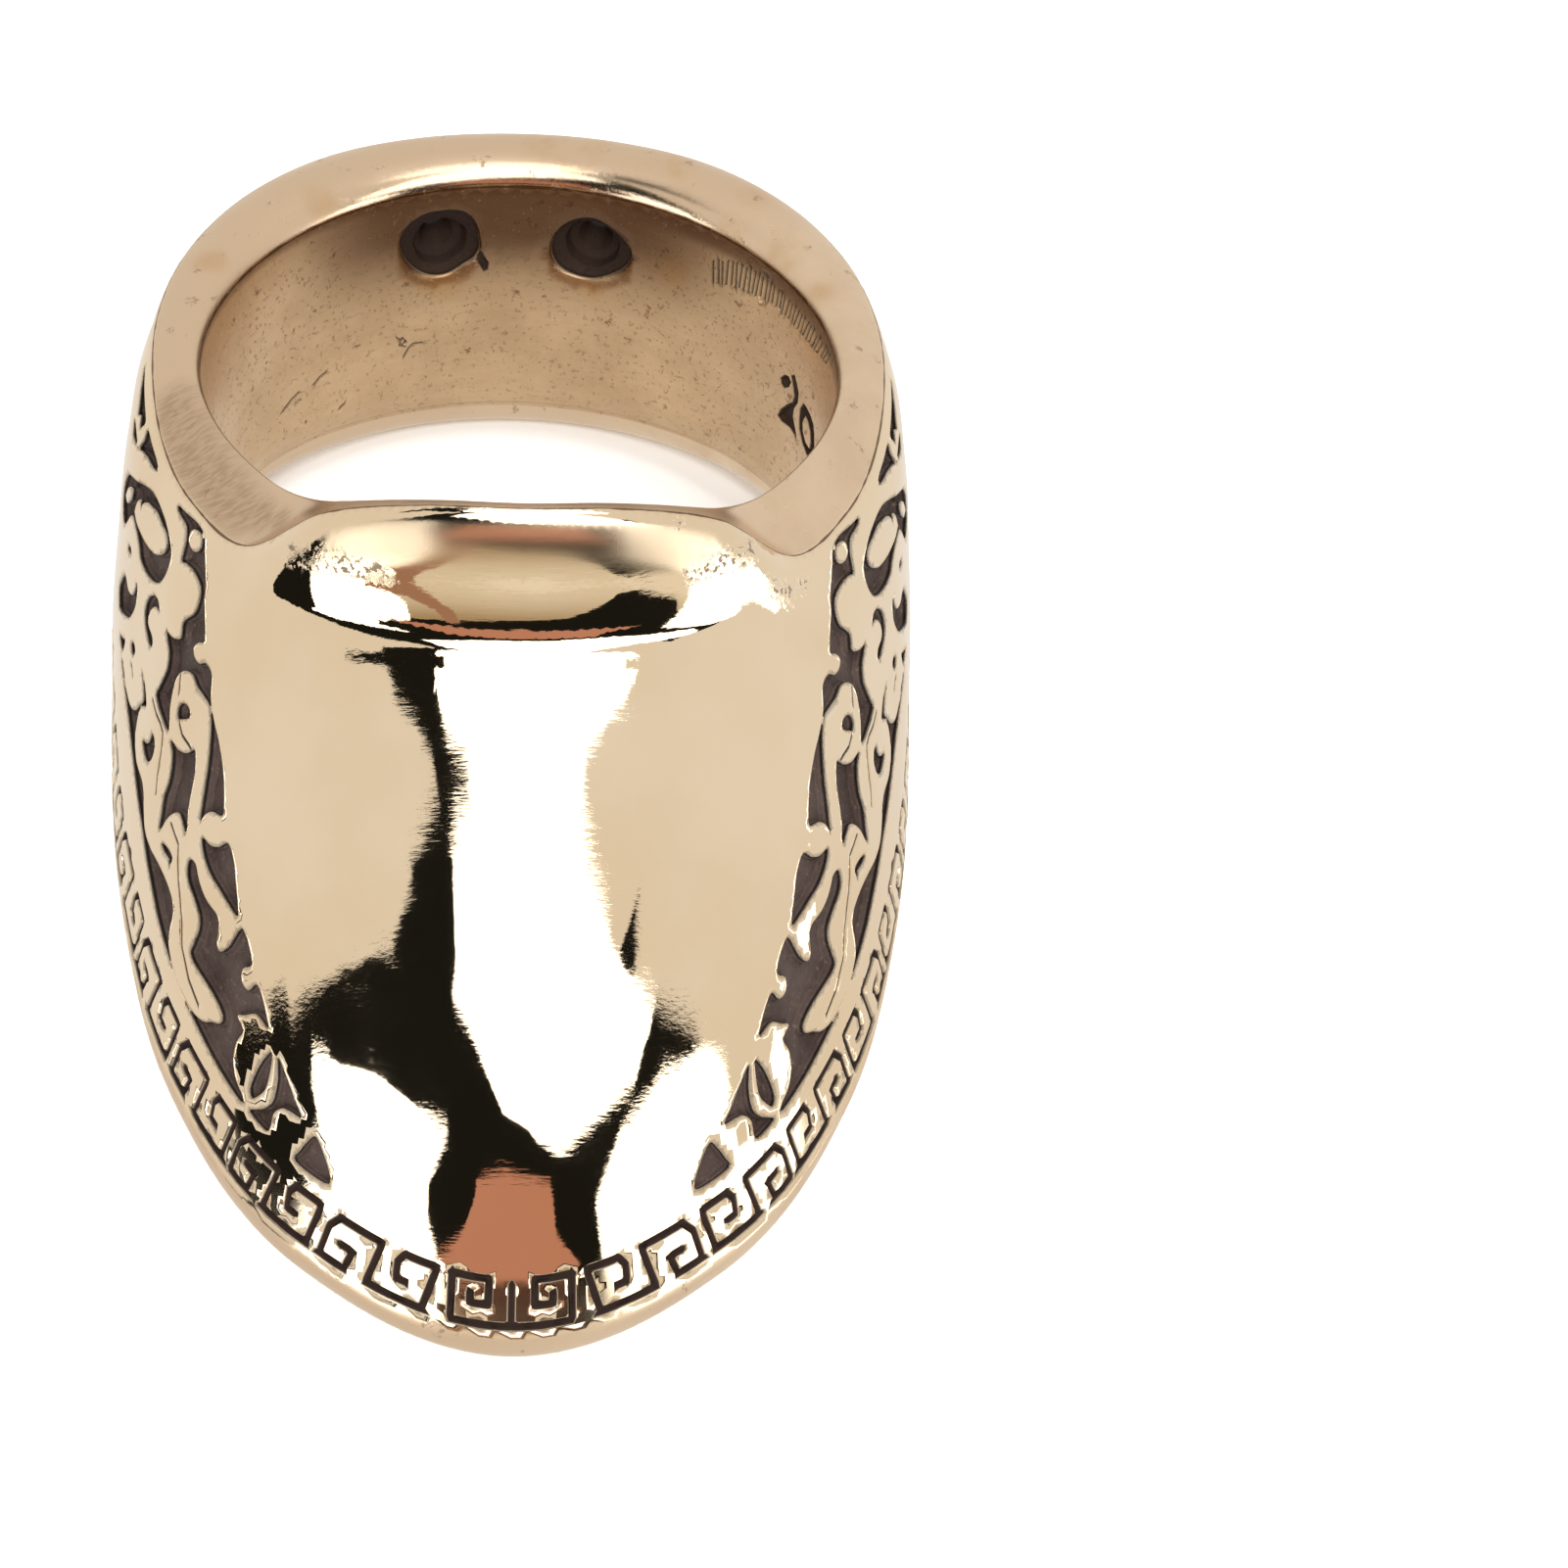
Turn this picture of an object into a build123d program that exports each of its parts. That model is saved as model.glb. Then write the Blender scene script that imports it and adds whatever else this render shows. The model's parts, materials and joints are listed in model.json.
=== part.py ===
from build123d import *
import os
from math import asin, atan2, cos, degrees, radians, sin

# An archer's thumb ring, cast in one piece: a band with a raised front lip, and a long
# curved tongue that covers the pad of the thumb. It is built round its hole, with Z along
# the hole, the tongue to -Y and Z = 0 at the rim, and then set down as it rests.

# Driving sizes, in millimetres
hole_diameter = 20.0       # the thumb goes through here
wall = 2.5                 # band, from the hole to its outer face
band_height = 9.0          # rim to the middle of the lower edge at the sides
lip_rise = 3.35            # front lip above the rim
tongue_reach = 15.2        # tip beyond the band's outer face
tongue_drop = 6.9          # tip below the band's lower edge
edge_thickness = 1.9       # rounded lower edge, all the way round

cord_hole_diameter = 1.1   # two holes for a wrist cord, through the back of the band
cord_step_diameter = 1.75  # each hole widens in two steps to its mouth on the thumb's side
cord_step_depth = 0.9
cord_mouth_diameter = 2.8
cord_mouth_depth = 0.35
cord_hole_spacing = 4.74   # between the holes' middles
cord_hole_below_rim = 1.6

relief_depth = 0.35        # ground of the scrollwork under the polished face
key_depth = 0.15           # least depth of the key border's groove
key_width = 0.2
key_height = 1.42          # border, from its lowest line to its top one
key_pitch = 4.4            # one double spiral of the border
key_above_edge = 0.15      # lowest line of the border above the lower edge
key_start = 2.4            # first double spiral, measured along the edge from the tip
front_rest = 33            # turn at which the front edge touches what the ring stands on, in degrees

# Sections of the ring at equal turns from the middle of the tongue to the middle of the back.
# out: past the hole, in walls. up, fall: above the rim or below the crease, in lip rises.
# low, down: below the rim, in band heights. root: in walls. reach, drop: of the tongue's own.
# tongue: how much of the front's slopes a section takes, the rest being the band's.
row_step = 15              # degrees between two rows
section_step = 10          # degrees between two sections that are lofted
section_names = (
    "low root_out root_down top crease_out crease_up nose_out nose_fall neck_out neck_fall "
    "shoulder_out shoulder_down edge_out reach drop tongue"
).split()
section_rows = [
    (0.00, 0.52, 1.04, 0.52, 0.80, 1.00, 0.97, 0.14, 1.42, 1.07, 1.80, 0.125, 1.00, 1.00, 1.00, 1.00),
    (0.03, 0.52, 1.04, 0.47, 0.80, 0.93, 0.97, 0.14, 1.42, 1.02, 1.82, 0.145, 1.00, 0.83, 0.92, 0.97),
    (0.22, 0.44, 1.00, 0.28, 0.80, 0.58, 1.02, 0.14, 1.34, 0.76, 1.80, 0.235, 1.00, 0.54, 0.77, 0.83),
    (0.53, 0.28, 0.88, 0.09, 0.76, -0.22, 0.98, 0.18, 1.14, 0.45, 1.60, 0.480, 1.00, 0.29, 0.58, 0.52),
    (0.77, 0.14, 0.64, 0.09, 0.68, -0.28, 0.86, 0.21, 1.00, 0.61, 1.20, 0.580, 1.00, 0.13, 0.41, 0.25),
    (0.84, 0.08, 0.44, 0.09, 0.60, -0.21, 0.78, 0.24, 0.94, 0.72, 1.04, 0.590, 1.00, 0.04, 0.26, 0.08),
    (0.86, 0.05, 0.32, 0.06, 0.60, 0.00, 0.78, 0.27, 0.92, 0.84, 1.00, 0.555, 1.00, 0.01, 0.16, 0.00),
    (0.845, 0.05, 0.32, 0.08, 0.70, 0.09, 0.84, 0.30, 0.92, 0.87, 0.96, 0.530, 0.96, 0.00, -0.025, 0.00),
    (0.815, 0.05, 0.26, 0.10, 0.84, 0.18, 0.92, 0.33, 0.94, 0.93, 0.96, 0.520, 0.92, 0.00, -0.075, 0.00),
    (0.79, 0.05, 0.24, 0.13, 0.94, 0.27, 1.00, 0.37, 0.98, 0.99, 0.98, 0.510, 0.88, 0.00, -0.115, 0.00),
    (0.79, 0.05, 0.24, 0.16, 0.98, 0.33, 1.04, 0.42, 1.00, 1.04, 1.00, 0.510, 0.88, 0.00, -0.115, 0.00),
    (0.79, 0.05, 0.24, 0.18, 0.96, 0.34, 1.02, 0.43, 1.00, 1.06, 1.00, 0.510, 0.88, 0.00, -0.115, 0.00),
    (0.79, 0.05, 0.24, 0.18, 0.94, 0.34, 1.00, 0.43, 1.00, 1.06, 1.00, 0.510, 0.88, 0.00, -0.115, 0.00),
]

# Slopes of the section's line where its stretches meet, in degrees, for the tongue and the band
slopes = {
    "wall": (54, 70),
    "crease_in": (20, -38),
    "crease": (-30, -55),
    "nose": (-60, -72),
    "neck": (-63, -82),
    "shoulder": (-40, -87),
    "edge": (-63, -93),
    "root": (142, 95),
}
straight = 0.004           # an arc flatter than this share of its chord is drawn as a line
face_fullness = 0.37       # how far a stretch of the outer face keeps to the slopes at its ends
rim_fullness = 0.42        # and the rim
line_steps = 12            # points that a stretch of the outer face is measured by
outer_corners = ("crease", "nose", "neck", "shoulder", "edge")

# Sunken ground of the scrollwork on one side, as outlines of turn from the tongue in degrees and
# share of the way down from the crease to the lower edge. The other side is its mirror image.
ground = {
    "upper": [
        (62.5, 0.040), (60, 0.034), (57, 0.026), (55, 0.028), (53.4, 0.042), (51.5, 0.085), (50, 0.13),
        (49.2, 0.17), (47.8, 0.205), (45.8, 0.25), (46.8, 0.262), (47.5, 0.28), (46.6, 0.297),
        (45, 0.302), (43.6, 0.292), (41.5, 0.31), (39.8, 0.36), (37.5, 0.40), (35.5, 0.43),
        (33.2, 0.475), (31.8, 0.52), (31.6, 0.54), (33.3, 0.547), (34.3, 0.56), (34.9, 0.578),
        (35.4, 0.54), (36.3, 0.475), (37.8, 0.415), (39.5, 0.375), (41.5, 0.36), (43.5, 0.35),
        (45.5, 0.335), (47.5, 0.345), (48.8, 0.375), (48.8, 0.41), (48, 0.45), (46.9, 0.48),
        (46.8, 0.497), (50, 0.498), (53.2, 0.495), (53, 0.47), (52.6, 0.44), (52.3, 0.41),
        (52.6, 0.39), (53.5, 0.37), (56.3, 0.352), (54.5, 0.34), (52.5, 0.32), (51.5, 0.30),
        (52.3, 0.27), (51.5, 0.245), (50.6, 0.225), (50.3, 0.20), (50.6, 0.165), (51.5, 0.145),
        (53.5, 0.135), (55.5, 0.14), (57, 0.15), (57.2, 0.13), (57.4, 0.09), (58.5, 0.06),
        (60.5, 0.055), (62, 0.05),
    ],
    "beside_stem": [
        (39.6, 0.47), (41, 0.488), (43, 0.50), (45.4, 0.502), (44.3, 0.52), (43.5, 0.545),
        (43.1, 0.58), (43.3, 0.62), (42.9, 0.655), (42.6, 0.685), (42.1, 0.68), (41.3, 0.645),
        (40.3, 0.62), (39.2, 0.606), (38.2, 0.61), (37, 0.623), (36.8, 0.61), (37.5, 0.58),
        (37.9, 0.54), (38.4, 0.50),
    ],
    "under_bulb": [
        (29.8, 0.573), (31, 0.59), (32.2, 0.599), (33.8, 0.60), (33.2, 0.62), (31.5, 0.64),
        (29.5, 0.65), (26.6, 0.662), (26.7, 0.645), (27.5, 0.62), (28.5, 0.59),
    ],
    "lower": [
        (35, 0.655), (33.8, 0.652), (32.5, 0.672), (31, 0.685), (29, 0.69), (28.5, 0.705),
        (28.3, 0.728), (27.7, 0.734), (26.8, 0.715), (26, 0.68), (25.5, 0.67), (24.4, 0.683),
        (23.6, 0.705), (24.5, 0.722), (24.3, 0.74), (23.4, 0.742), (22.7, 0.724), (21.9, 0.73),
        (21, 0.75), (20.5, 0.766), (22, 0.762), (23.2, 0.778), (24, 0.79), (23.1, 0.80),
        (23.6, 0.825), (23.6, 0.85), (22.9, 0.872), (21.8, 0.884), (22, 0.893), (26, 0.885),
        (30, 0.872), (34, 0.855), (38.5, 0.83), (41, 0.81), (44, 0.787), (47, 0.76), (50, 0.742),
        (54, 0.725), (60, 0.714), (66, 0.710), (70, 0.706), (69.5, 0.694), (66, 0.70),
        (63.5, 0.695), (61, 0.68), (59, 0.65), (57.8, 0.61), (57, 0.58), (58.8, 0.562),
        (61, 0.552), (58.5, 0.551), (55.4, 0.566), (56.3, 0.585), (57.2, 0.61), (57.3, 0.64),
        (56.6, 0.67), (55.3, 0.69), (53.5, 0.70), (51.5, 0.694), (50, 0.69), (48.8, 0.698),
        (47.8, 0.715), (46.7, 0.74), (45.5, 0.752), (43.5, 0.753), (41, 0.746), (38.5, 0.746),
        (36.4, 0.758), (35.8, 0.78), (35.8, 0.81), (35.2, 0.837), (33.5, 0.855), (31.5, 0.864),
        (29.5, 0.866), (28, 0.857), (27, 0.842), (25.9, 0.828), (25.9, 0.813), (27.5, 0.803),
        (31.4, 0.795), (31.5, 0.77), (31.2, 0.745), (31.5, 0.722), (32.8, 0.706), (34.4, 0.692),
        (35.1, 0.675),
    ],
    "crescent": [
        (60.2, 0.18), (60.8, 0.155), (62.3, 0.133), (64.5, 0.115), (67.5, 0.108), (70, 0.112),
        (72, 0.125), (75, 0.158), (78, 0.20), (81, 0.24), (83.5, 0.28), (85, 0.33), (85.5, 0.38),
        (84, 0.42), (82, 0.43), (80.5, 0.405), (79, 0.36), (77.8, 0.325), (76.2, 0.302),
        (73.2, 0.305), (71.3, 0.322), (70, 0.342), (67.5, 0.34), (64.5, 0.322), (62.3, 0.295),
        (61, 0.26), (60.3, 0.22),
    ],
    "hook": [
        (60, 0.35), (61.2, 0.336), (62.6, 0.342), (64.2, 0.372), (65, 0.41), (64.7, 0.44),
        (63.3, 0.46), (61, 0.468), (59.8, 0.462), (59.5, 0.447), (60.6, 0.438), (62.5, 0.44),
        (63.2, 0.425), (63, 0.395), (61.8, 0.365), (60.8, 0.357),
    ],
    "wedge": [
        (72, 0.057), (73.6, 0.048), (77, 0.05), (80.6, 0.056), (80.2, 0.085), (80.8, 0.13),
        (79, 0.11), (76.5, 0.088), (73.5, 0.073),
    ],
    "teeth": [
        (82.5, 0.062), (86, 0.057), (90, 0.056), (94, 0.054), (91, 0.075), (88, 0.095),
        (86.5, 0.11), (85, 0.09), (83.5, 0.105), (82.8, 0.085),
    ],
    "slot": [(82, 0.146), (84.5, 0.142), (87.2, 0.146), (87.2, 0.162), (85.8, 0.175), (83.8, 0.165)],
    "nape": [
        (70.2, 0.425), (69.3, 0.45), (69, 0.485), (69.6, 0.525), (70.6, 0.56), (72.2, 0.59),
        (74.2, 0.62), (76.2, 0.65), (78.2, 0.665), (79.8, 0.64), (79.6, 0.61), (78.2, 0.56),
        (76.4, 0.522), (74, 0.522), (72, 0.505), (70.8, 0.48), (70.3, 0.45),
    ],
    "notch": [(70.5, 0.642), (71.8, 0.66), (74, 0.695), (71.5, 0.69), (70.3, 0.668)],
    "eye_front": [
        (42.9, 0.42), (43.4, 0.406), (44.5, 0.402), (45.6, 0.41), (46, 0.428), (45.3, 0.446),
        (44.3, 0.437),
    ],
    "eye_middle": [
        (49.4, 0.565), (48.8, 0.585), (49, 0.61), (50, 0.633), (51.5, 0.638), (53.2, 0.63),
        (51.6, 0.61), (50.9, 0.587), (50.8, 0.566),
    ],
    "eye_back": [(74.6, 0.398), (75.8, 0.403), (77, 0.42), (77, 0.433), (75.8, 0.426), (74.8, 0.412)],
    "eye_low": [(65, 0.572), (66, 0.567), (67, 0.576), (67.3, 0.59), (66.3, 0.598), (65.3, 0.59)],
    "slit": [(38.2, 0.693), (39.5, 0.690), (41.2, 0.70), (40.3, 0.707), (39, 0.705), (38.5, 0.712)],
    "pear_slot": [
        (19.8, 0.79), (20.5, 0.81), (21, 0.835), (21.3, 0.862), (20.9, 0.872), (20.2, 0.858),
        (19.7, 0.84), (19.6, 0.81),
    ],
    "fin": [
        (19.1, 0.79), (18, 0.805), (16.9, 0.826), (16.1, 0.842), (17.2, 0.845), (18, 0.85),
        (18.6, 0.865), (18.7, 0.885), (19.1, 0.895), (20.9, 0.892), (20.4, 0.882), (19.5, 0.868),
        (18.9, 0.85), (18.8, 0.82),
    ],
    "sail": [
        (14.7, 0.853), (13.8, 0.87), (13.1, 0.893), (13.5, 0.904), (16.1, 0.901), (15.8, 0.882),
        (15.3, 0.865),
    ],
}
raised = {
    "upper": [
        [
            (53.5, 0.065), (54, 0.045), (55.3, 0.038), (56.6, 0.046), (57, 0.065), (56.5, 0.085),
            (55.3, 0.092), (54, 0.084),
        ],
    ],
    "crescent": [
        [
            (62, 0.165), (62.2, 0.19), (63.2, 0.215), (65.2, 0.243), (68, 0.262), (71, 0.275),
            (74, 0.284), (75.8, 0.278), (76, 0.255), (75.4, 0.225), (74.4, 0.203), (73.6, 0.213),
            (72.9, 0.19), (71.5, 0.165), (70, 0.152), (67.5, 0.135), (65, 0.138), (62.9, 0.143),
        ],
        [
            (79, 0.25), (80.5, 0.27), (82, 0.30), (82.8, 0.335), (82, 0.35), (80.8, 0.335),
            (79.6, 0.305), (78.7, 0.275),
        ],
    ],
}
repeat_about = 92          # towards the back these come again, mirrored about this turn
repeated = ("crescent", "hook", "nape", "notch", "wedge")
strip = 12                 # degrees of the chart that are cut in one direction
strip_overlap = 0.15       # of neighbouring strips, in degrees
chart_scale = 60           # degrees that the way down is drawn as, in the flat chart
ground_reach = 1.6         # of the prisms, in and out of the face
key_reach = 0.9            # of a groove's prism, out of the face
turn_apart = 1             # degrees each way, and share of the way down each way,
down_apart = 0.02          # of the points that give the face's direction at a place

# One double spiral of the key border, along the edge and up, drawn for this pitch and height
key_drawn = (4.4, 1.42)
key_spiral = [
    (1.05, 0.60), (1.38, 0.60), (1.36, 1.12), (1.12, 1.42), (0.00, 1.42), (0.45, 0.00), (2.45, 0.00),
    (1.95, 1.42), (3.60, 1.42), (4.00, 1.00), (4.28, 0.00), (3.30, 0.00), (3.02, 0.66), (3.42, 0.66),
]
# and the groove at the tip, up the middle, along and back round a square hook
key_tip = [
    (0.00, 1.30), (0.00, 0.00), (1.90, 0.00), (1.90, 1.42), (0.72, 1.42), (0.72, 0.62), (1.30, 0.62),
    (1.30, 0.95),
]

hole_radius = hole_diameter / 2


def section_sizes(turn):
    """The named sizes of the section at a turn from the tongue, between two rows on a smooth curve."""
    place = abs((turn + 180) % 360 - 180) / row_step
    last = len(section_rows) - 1
    first = min(int(place), last - 1)
    share = place - first
    rows = [section_rows[min(abs(first + k), 2 * last - abs(first + k))] for k in (-1, 0, 1, 2)]
    sizes = {}
    for name, a, b, c, d in zip(section_names, *rows):
        bend = (2 * b, c - a, 2 * a - 5 * b + 4 * c - d, 3 * b - 3 * c + d - a)
        sizes[name] = sum(v * share ** k for k, v in enumerate(bend)) / 2
    return sizes


def unit(angle):
    return Vector(cos(radians(angle)), sin(radians(angle)))


def section_points(turn, inset=0.0):
    """Corners of the section, as X out from the hole's axis and Y up, and the slope at each.
    With an inset, the outer ones lie that much under the surface."""
    s = section_sizes(turn)
    slope = {name: front * s["tongue"] + back * (1 - s["tongue"]) for name, (front, back) in slopes.items()}
    crease_z = lip_rise * s["crease_up"]
    low = Vector(hole_radius, -band_height * s["low"])
    points = {
        "low": low,
        "top": Vector(hole_radius, lip_rise * s["top"]),
        "crease": Vector(hole_radius + wall * s["crease_out"], crease_z),
        "nose": Vector(hole_radius + wall * s["nose_out"], crease_z - lip_rise * s["nose_fall"]),
        "neck": Vector(hole_radius + wall * s["neck_out"], crease_z - lip_rise * s["neck_fall"]),
        "shoulder": Vector(hole_radius + wall * s["shoulder_out"], -band_height * s["shoulder_down"]),
        "edge": Vector(
            hole_radius + wall * s["edge_out"] + tongue_reach * s["reach"],
            -band_height - tongue_drop * s["drop"],
        ),
    }
    points["edge_in"] = points["edge"] + unit(slope["edge"] - 90) * edge_thickness
    points["root"] = low + Vector(wall * s["root_out"], -wall * s["root_down"])
    for name in outer_corners:
        points[name] += unit(slope[name] - 90) * inset
    return points, slope


def bow(start, end, slope_start, slope_end, fullness=face_fullness):
    """The middle point of a stretch that leaves and meets its ends at the given slopes."""
    lift = 0.375 * fullness * (end - start).length
    return (start + end) / 2 + (unit(slope_start) - unit(slope_end)) * lift


def stretch(start, middle, end, plane):
    """A stretch of a section: an arc through its middle, or a line where it is almost straight."""
    chord = end - start
    off = abs(chord.X * (middle.Y - start.Y) - chord.Y * (middle.X - start.X)) / chord.length
    ends = [plane.from_local_coords(p) for p in (start, middle, end)]
    if off < straight * chord.length:
        return Edge.make_line(ends[0], ends[2])
    return Edge.make_three_point_arc(*ends)


def section_plane(turn):
    """The upright plane through the hole's axis at a turn from the tongue: X out, Y up."""
    out = Vector(sin(radians(turn)), -cos(radians(turn)), 0)
    return Plane(origin=(0, 0, 0), x_dir=out, z_dir=out.cross(Vector(0, 0, 1)))


def outer_stretches(p, slope):
    """The outer side of a section from the crease down to the edge, as starts, middles and ends."""
    return [
        (p[a], bow(p[a], p[b], slope[a], slope[b]), p[b])
        for a, b in zip(outer_corners[:-1], outer_corners[1:])
    ]


def ring_section(turn):
    p, slope = section_points(turn)
    edge_middle = (p["edge"] + p["edge_in"]) / 2 + unit(slope["edge"]) * edge_thickness / 2
    stretches = [
        (p["low"], (p["low"] + p["top"]) / 2, p["top"]),
        (p["top"], bow(p["top"], p["crease"], slope["wall"], slope["crease_in"], rim_fullness), p["crease"]),
        *outer_stretches(p, slope),
        (p["edge"], edge_middle, p["edge_in"]),
        (p["edge_in"], bow(p["edge_in"], p["root"], slope["edge"] + 180, slope["root"]), p["root"]),
        (p["root"], bow(p["root"], p["low"], slope["root"], 90), p["low"]),
    ]
    plane = section_plane(turn)
    return Wire([stretch(a, m, b, plane) for a, m, b in stretches])


def core_section(turn):
    """What stays solid behind the relief: the outer line, sunk by the relief's depth, and filled
    in towards the hole's axis."""
    p, slope = section_points(turn, relief_depth)
    inner = hole_radius - wall
    below = p["edge"] + unit(slope["edge"]) * edge_thickness
    behind = below + unit(slope["edge"] - 90) * edge_thickness
    foot = Vector(inner, p["low"].Y - wall)
    head = Vector(inner, p["top"].Y)
    stretches = [
        *outer_stretches(p, slope),
        (p["edge"], (p["edge"] + below) / 2, below),
        (below, (below + behind) / 2, behind),
        (behind, (behind + foot) / 2, foot),
        (foot, (foot + head) / 2, head),
        (head, (head + p["crease"]) / 2, p["crease"]),
    ]
    plane = section_plane(turn)
    return Wire([stretch(a, m, b, plane) for a, m, b in stretches])


def loft_round(section):
    """A body lofted through sections all the way round and back to the first."""
    sections = [section(turn) for turn in range(0, 360, section_step)]
    return Solid.make_loft(sections + sections[:1])


def outer_line(turn):
    """Points down the outer face from the crease to the edge, as X out and Y up."""
    p, slope = section_points(turn)
    line = [p["crease"]]
    for a, b in zip(outer_corners[:-1], outer_corners[1:]):
        handle = face_fullness * (p[b] - p[a]).length
        c = p[a] + unit(slope[a]) * handle
        d = p[b] - unit(slope[b]) * handle
        for k in range(1, line_steps + 1):
            t = k / line_steps
            line.append(
                p[a] * (1 - t) ** 3 + c * 3 * (1 - t) ** 2 * t + d * 3 * (1 - t) * t ** 2 + p[b] * t ** 3
            )
    return line


def along(line, way):
    """The point a given way along a line of points."""
    for a, b in zip(line[:-1], line[1:]):
        piece = (b - a).length
        if way <= piece:
            return a + (b - a) * (way / piece)
        way -= piece
    return line[-1]


def length_of(line):
    return sum((b - a).length for a, b in zip(line[:-1], line[1:]))


def on_face(turn, down):
    """A point on the outer face, by its turn and its share of the way down."""
    line = outer_line(turn)
    p = along(line, down * length_of(line))
    return section_plane(turn).from_local_coords(Vector(p.X, p.Y, 0))


def face_plane(turn, down):
    """The plane that touches the outer face at a point, with Z outwards."""
    across = on_face(turn + turn_apart, down) - on_face(turn - turn_apart, down)
    along_down = on_face(turn, min(down + down_apart, 1)) - on_face(turn, down - down_apart)
    return Plane(origin=on_face(turn, down), x_dir=across, z_dir=along_down.cross(across))


def prism(outline, holes, plane, bottom, top):
    """A straight prism over points on the face, square to a plane that touches it."""
    def flat(points):
        local = [plane.to_local_coords(p) for p in points]
        return Wire.make_polygon([plane.from_local_coords(Vector(p.X, p.Y, bottom)) for p in local])
    face = Face(flat(outline), [flat(hole) for hole in holes])
    return Solid.extrude(face, plane.z_dir * (top - bottom))


def chart_face(outline):
    return Face(Wire.make_polygon([(turn, down * chart_scale) for turn, down in outline]))


def corners(wire):
    """The corners of a polygon, in order."""
    edges = wire.order_edges()
    points = []
    for edge, after in zip(edges, edges[1:] + edges[:1]):
        meeting = [after @ 0, after @ 1]
        points.append(min((edge @ 0, edge @ 1), key=lambda p: min((p - q).length for q in meeting)))
    return points


def ground_prisms(name, back=False):
    """Prisms over one sunken outline, cut into strips so that each stands square to the face."""
    def placed(outline):
        return [(2 * repeat_about - turn, down) if back else (turn, down) for turn, down in outline]

    chart = chart_face(placed(ground[name]))
    for island in raised.get(name, []):
        chart -= chart_face(placed(island))
    box = chart.bounding_box()
    prisms = []
    for k in range(int(box.min.X // strip), int(box.max.X // strip) + 1):
        band = Rectangle(strip + 2 * strip_overlap, 2 * chart_scale)
        for face in (chart & (Pos((k + 0.5) * strip, chart_scale / 2) * band).face()).faces():
            middle = face.center()
            outline, *holes = [
                [on_face(p.X, p.Y / chart_scale) for p in corners(wire)]
                for wire in [face.outer_wire(), *face.inner_wires()]
            ]
            plane = face_plane(middle.X, middle.Y / chart_scale)
            prisms.append(prism(outline, holes, plane, -ground_reach, ground_reach))
    return prisms


def sunk(prisms, core):
    """What the prisms take away: their part outside the core."""
    left = [prism - core for prism in prisms]
    return [solid for shape in left for solid in ShapeList([shape]).solids()]


def groove(points, width):
    """The outline of a groove of a given width along a line of points, its corners mitred."""
    runs = [(b - a).normalized() for a, b in zip(points, points[1:])]
    squares = [Vector(-run.Y, run.X, 0) for run in runs]
    sides = ([], [])
    for p, before, after in zip(points, squares[:1] + squares, squares + squares[-1:]):
        mitre = (before + after).normalized()
        reach = mitre * (width / 2 / mitre.dot(after))
        sides[0].append(p + reach)
        sides[1].append(p - reach)
    return sides[0] + sides[1][::-1]


edge_turns = list(range(0, 181))
edge_ways = [0.0]
for turn in edge_turns[1:]:
    edge_ways.append(edge_ways[-1] + (on_face(turn, 1) - on_face(turn - 1, 1)).length)


def turn_along_edge(way):
    """The turn at a way along the lower edge from the tip, in mm."""
    side = -1 if way < 0 else 1
    for turn, start, end in zip(edge_turns, edge_ways[:-1], edge_ways[1:]):
        if abs(way) <= end:
            return side * (turn + (abs(way) - start) / (end - start))
    return side * 180.0


def border_place(way, up):
    """Turn and share of the way down of a point of the border, in mm along the edge and up."""
    turn = turn_along_edge(way)
    return turn, 1 - (key_above_edge + up) / length_of(outer_line(turn))


def key_groove(points, start):
    """A groove of the key border, drawn for its named pitch and height, from a place on the edge."""
    across, up = key_pitch / key_drawn[0], key_height / key_drawn[1]
    line = [Vector(x * across, y * up, 0) for x, y in points]
    outline = [on_face(*border_place(start + p.X, p.Y)) for p in groove(line, key_width)]
    plane = face_plane(*border_place(start + sum(p.X for p in line) / len(line), key_height / 2))
    lowest = min(plane.to_local_coords(p).Z for p in outline)
    return prism(outline, [], plane, lowest - key_depth, key_reach)


def cord_holes():
    """The two stepped holes through the back of the band, widest on the thumb's side."""
    off_middle = degrees(asin(cord_hole_spacing / 2 / hole_radius))
    through = 2 * wall
    lead = wall            # how far each cutter starts before its mouth
    steps = (
        (cord_hole_diameter, through),
        (cord_step_diameter, cord_step_depth),
        (cord_mouth_diameter, cord_mouth_depth),
    )
    holes = []
    for turn in (180 - off_middle, 180 + off_middle):
        section = section_plane(turn)
        mouth = section.from_local_coords(Vector(hole_radius, -cord_hole_below_rim, 0))
        away = Plane(origin=mouth, z_dir=section.x_dir)
        for diameter, end in steps:
            holes.append(away * Pos(0, 0, (end - lead) / 2) * Cylinder(diameter / 2, end + lead))
    return holes


def underside(turn):
    """The middle of the rounded lower edge, at a turn from the tongue."""
    p, slope = section_points(turn)
    middle = (p["edge"] + p["edge_in"]) / 2
    return section_plane(turn).from_local_coords(Vector(middle.X, middle.Y, 0))


front, back = underside(front_rest), underside(180)
rest_tilt = degrees(atan2(back.Z - front.Z, back.Y - front.Y))

half = split(loft_round(ring_section), bisect_by=Plane.YZ, keep=Keep.TOP)
scrolls = [prism for name in ground for prism in ground_prisms(name)]
scrolls += [prism for name in repeated for prism in ground_prisms(name, back=True)]
half -= sunk(scrolls, loft_round(core_section))
key_count = int((edge_ways[-1] - key_start) // key_pitch)
half -= [key_groove(key_spiral, key_start + k * key_pitch) for k in range(key_count)]
half -= key_groove(key_tip, 0)
ring = half + mirror(half, about=Plane.YZ)
ring -= cord_holes()

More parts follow.
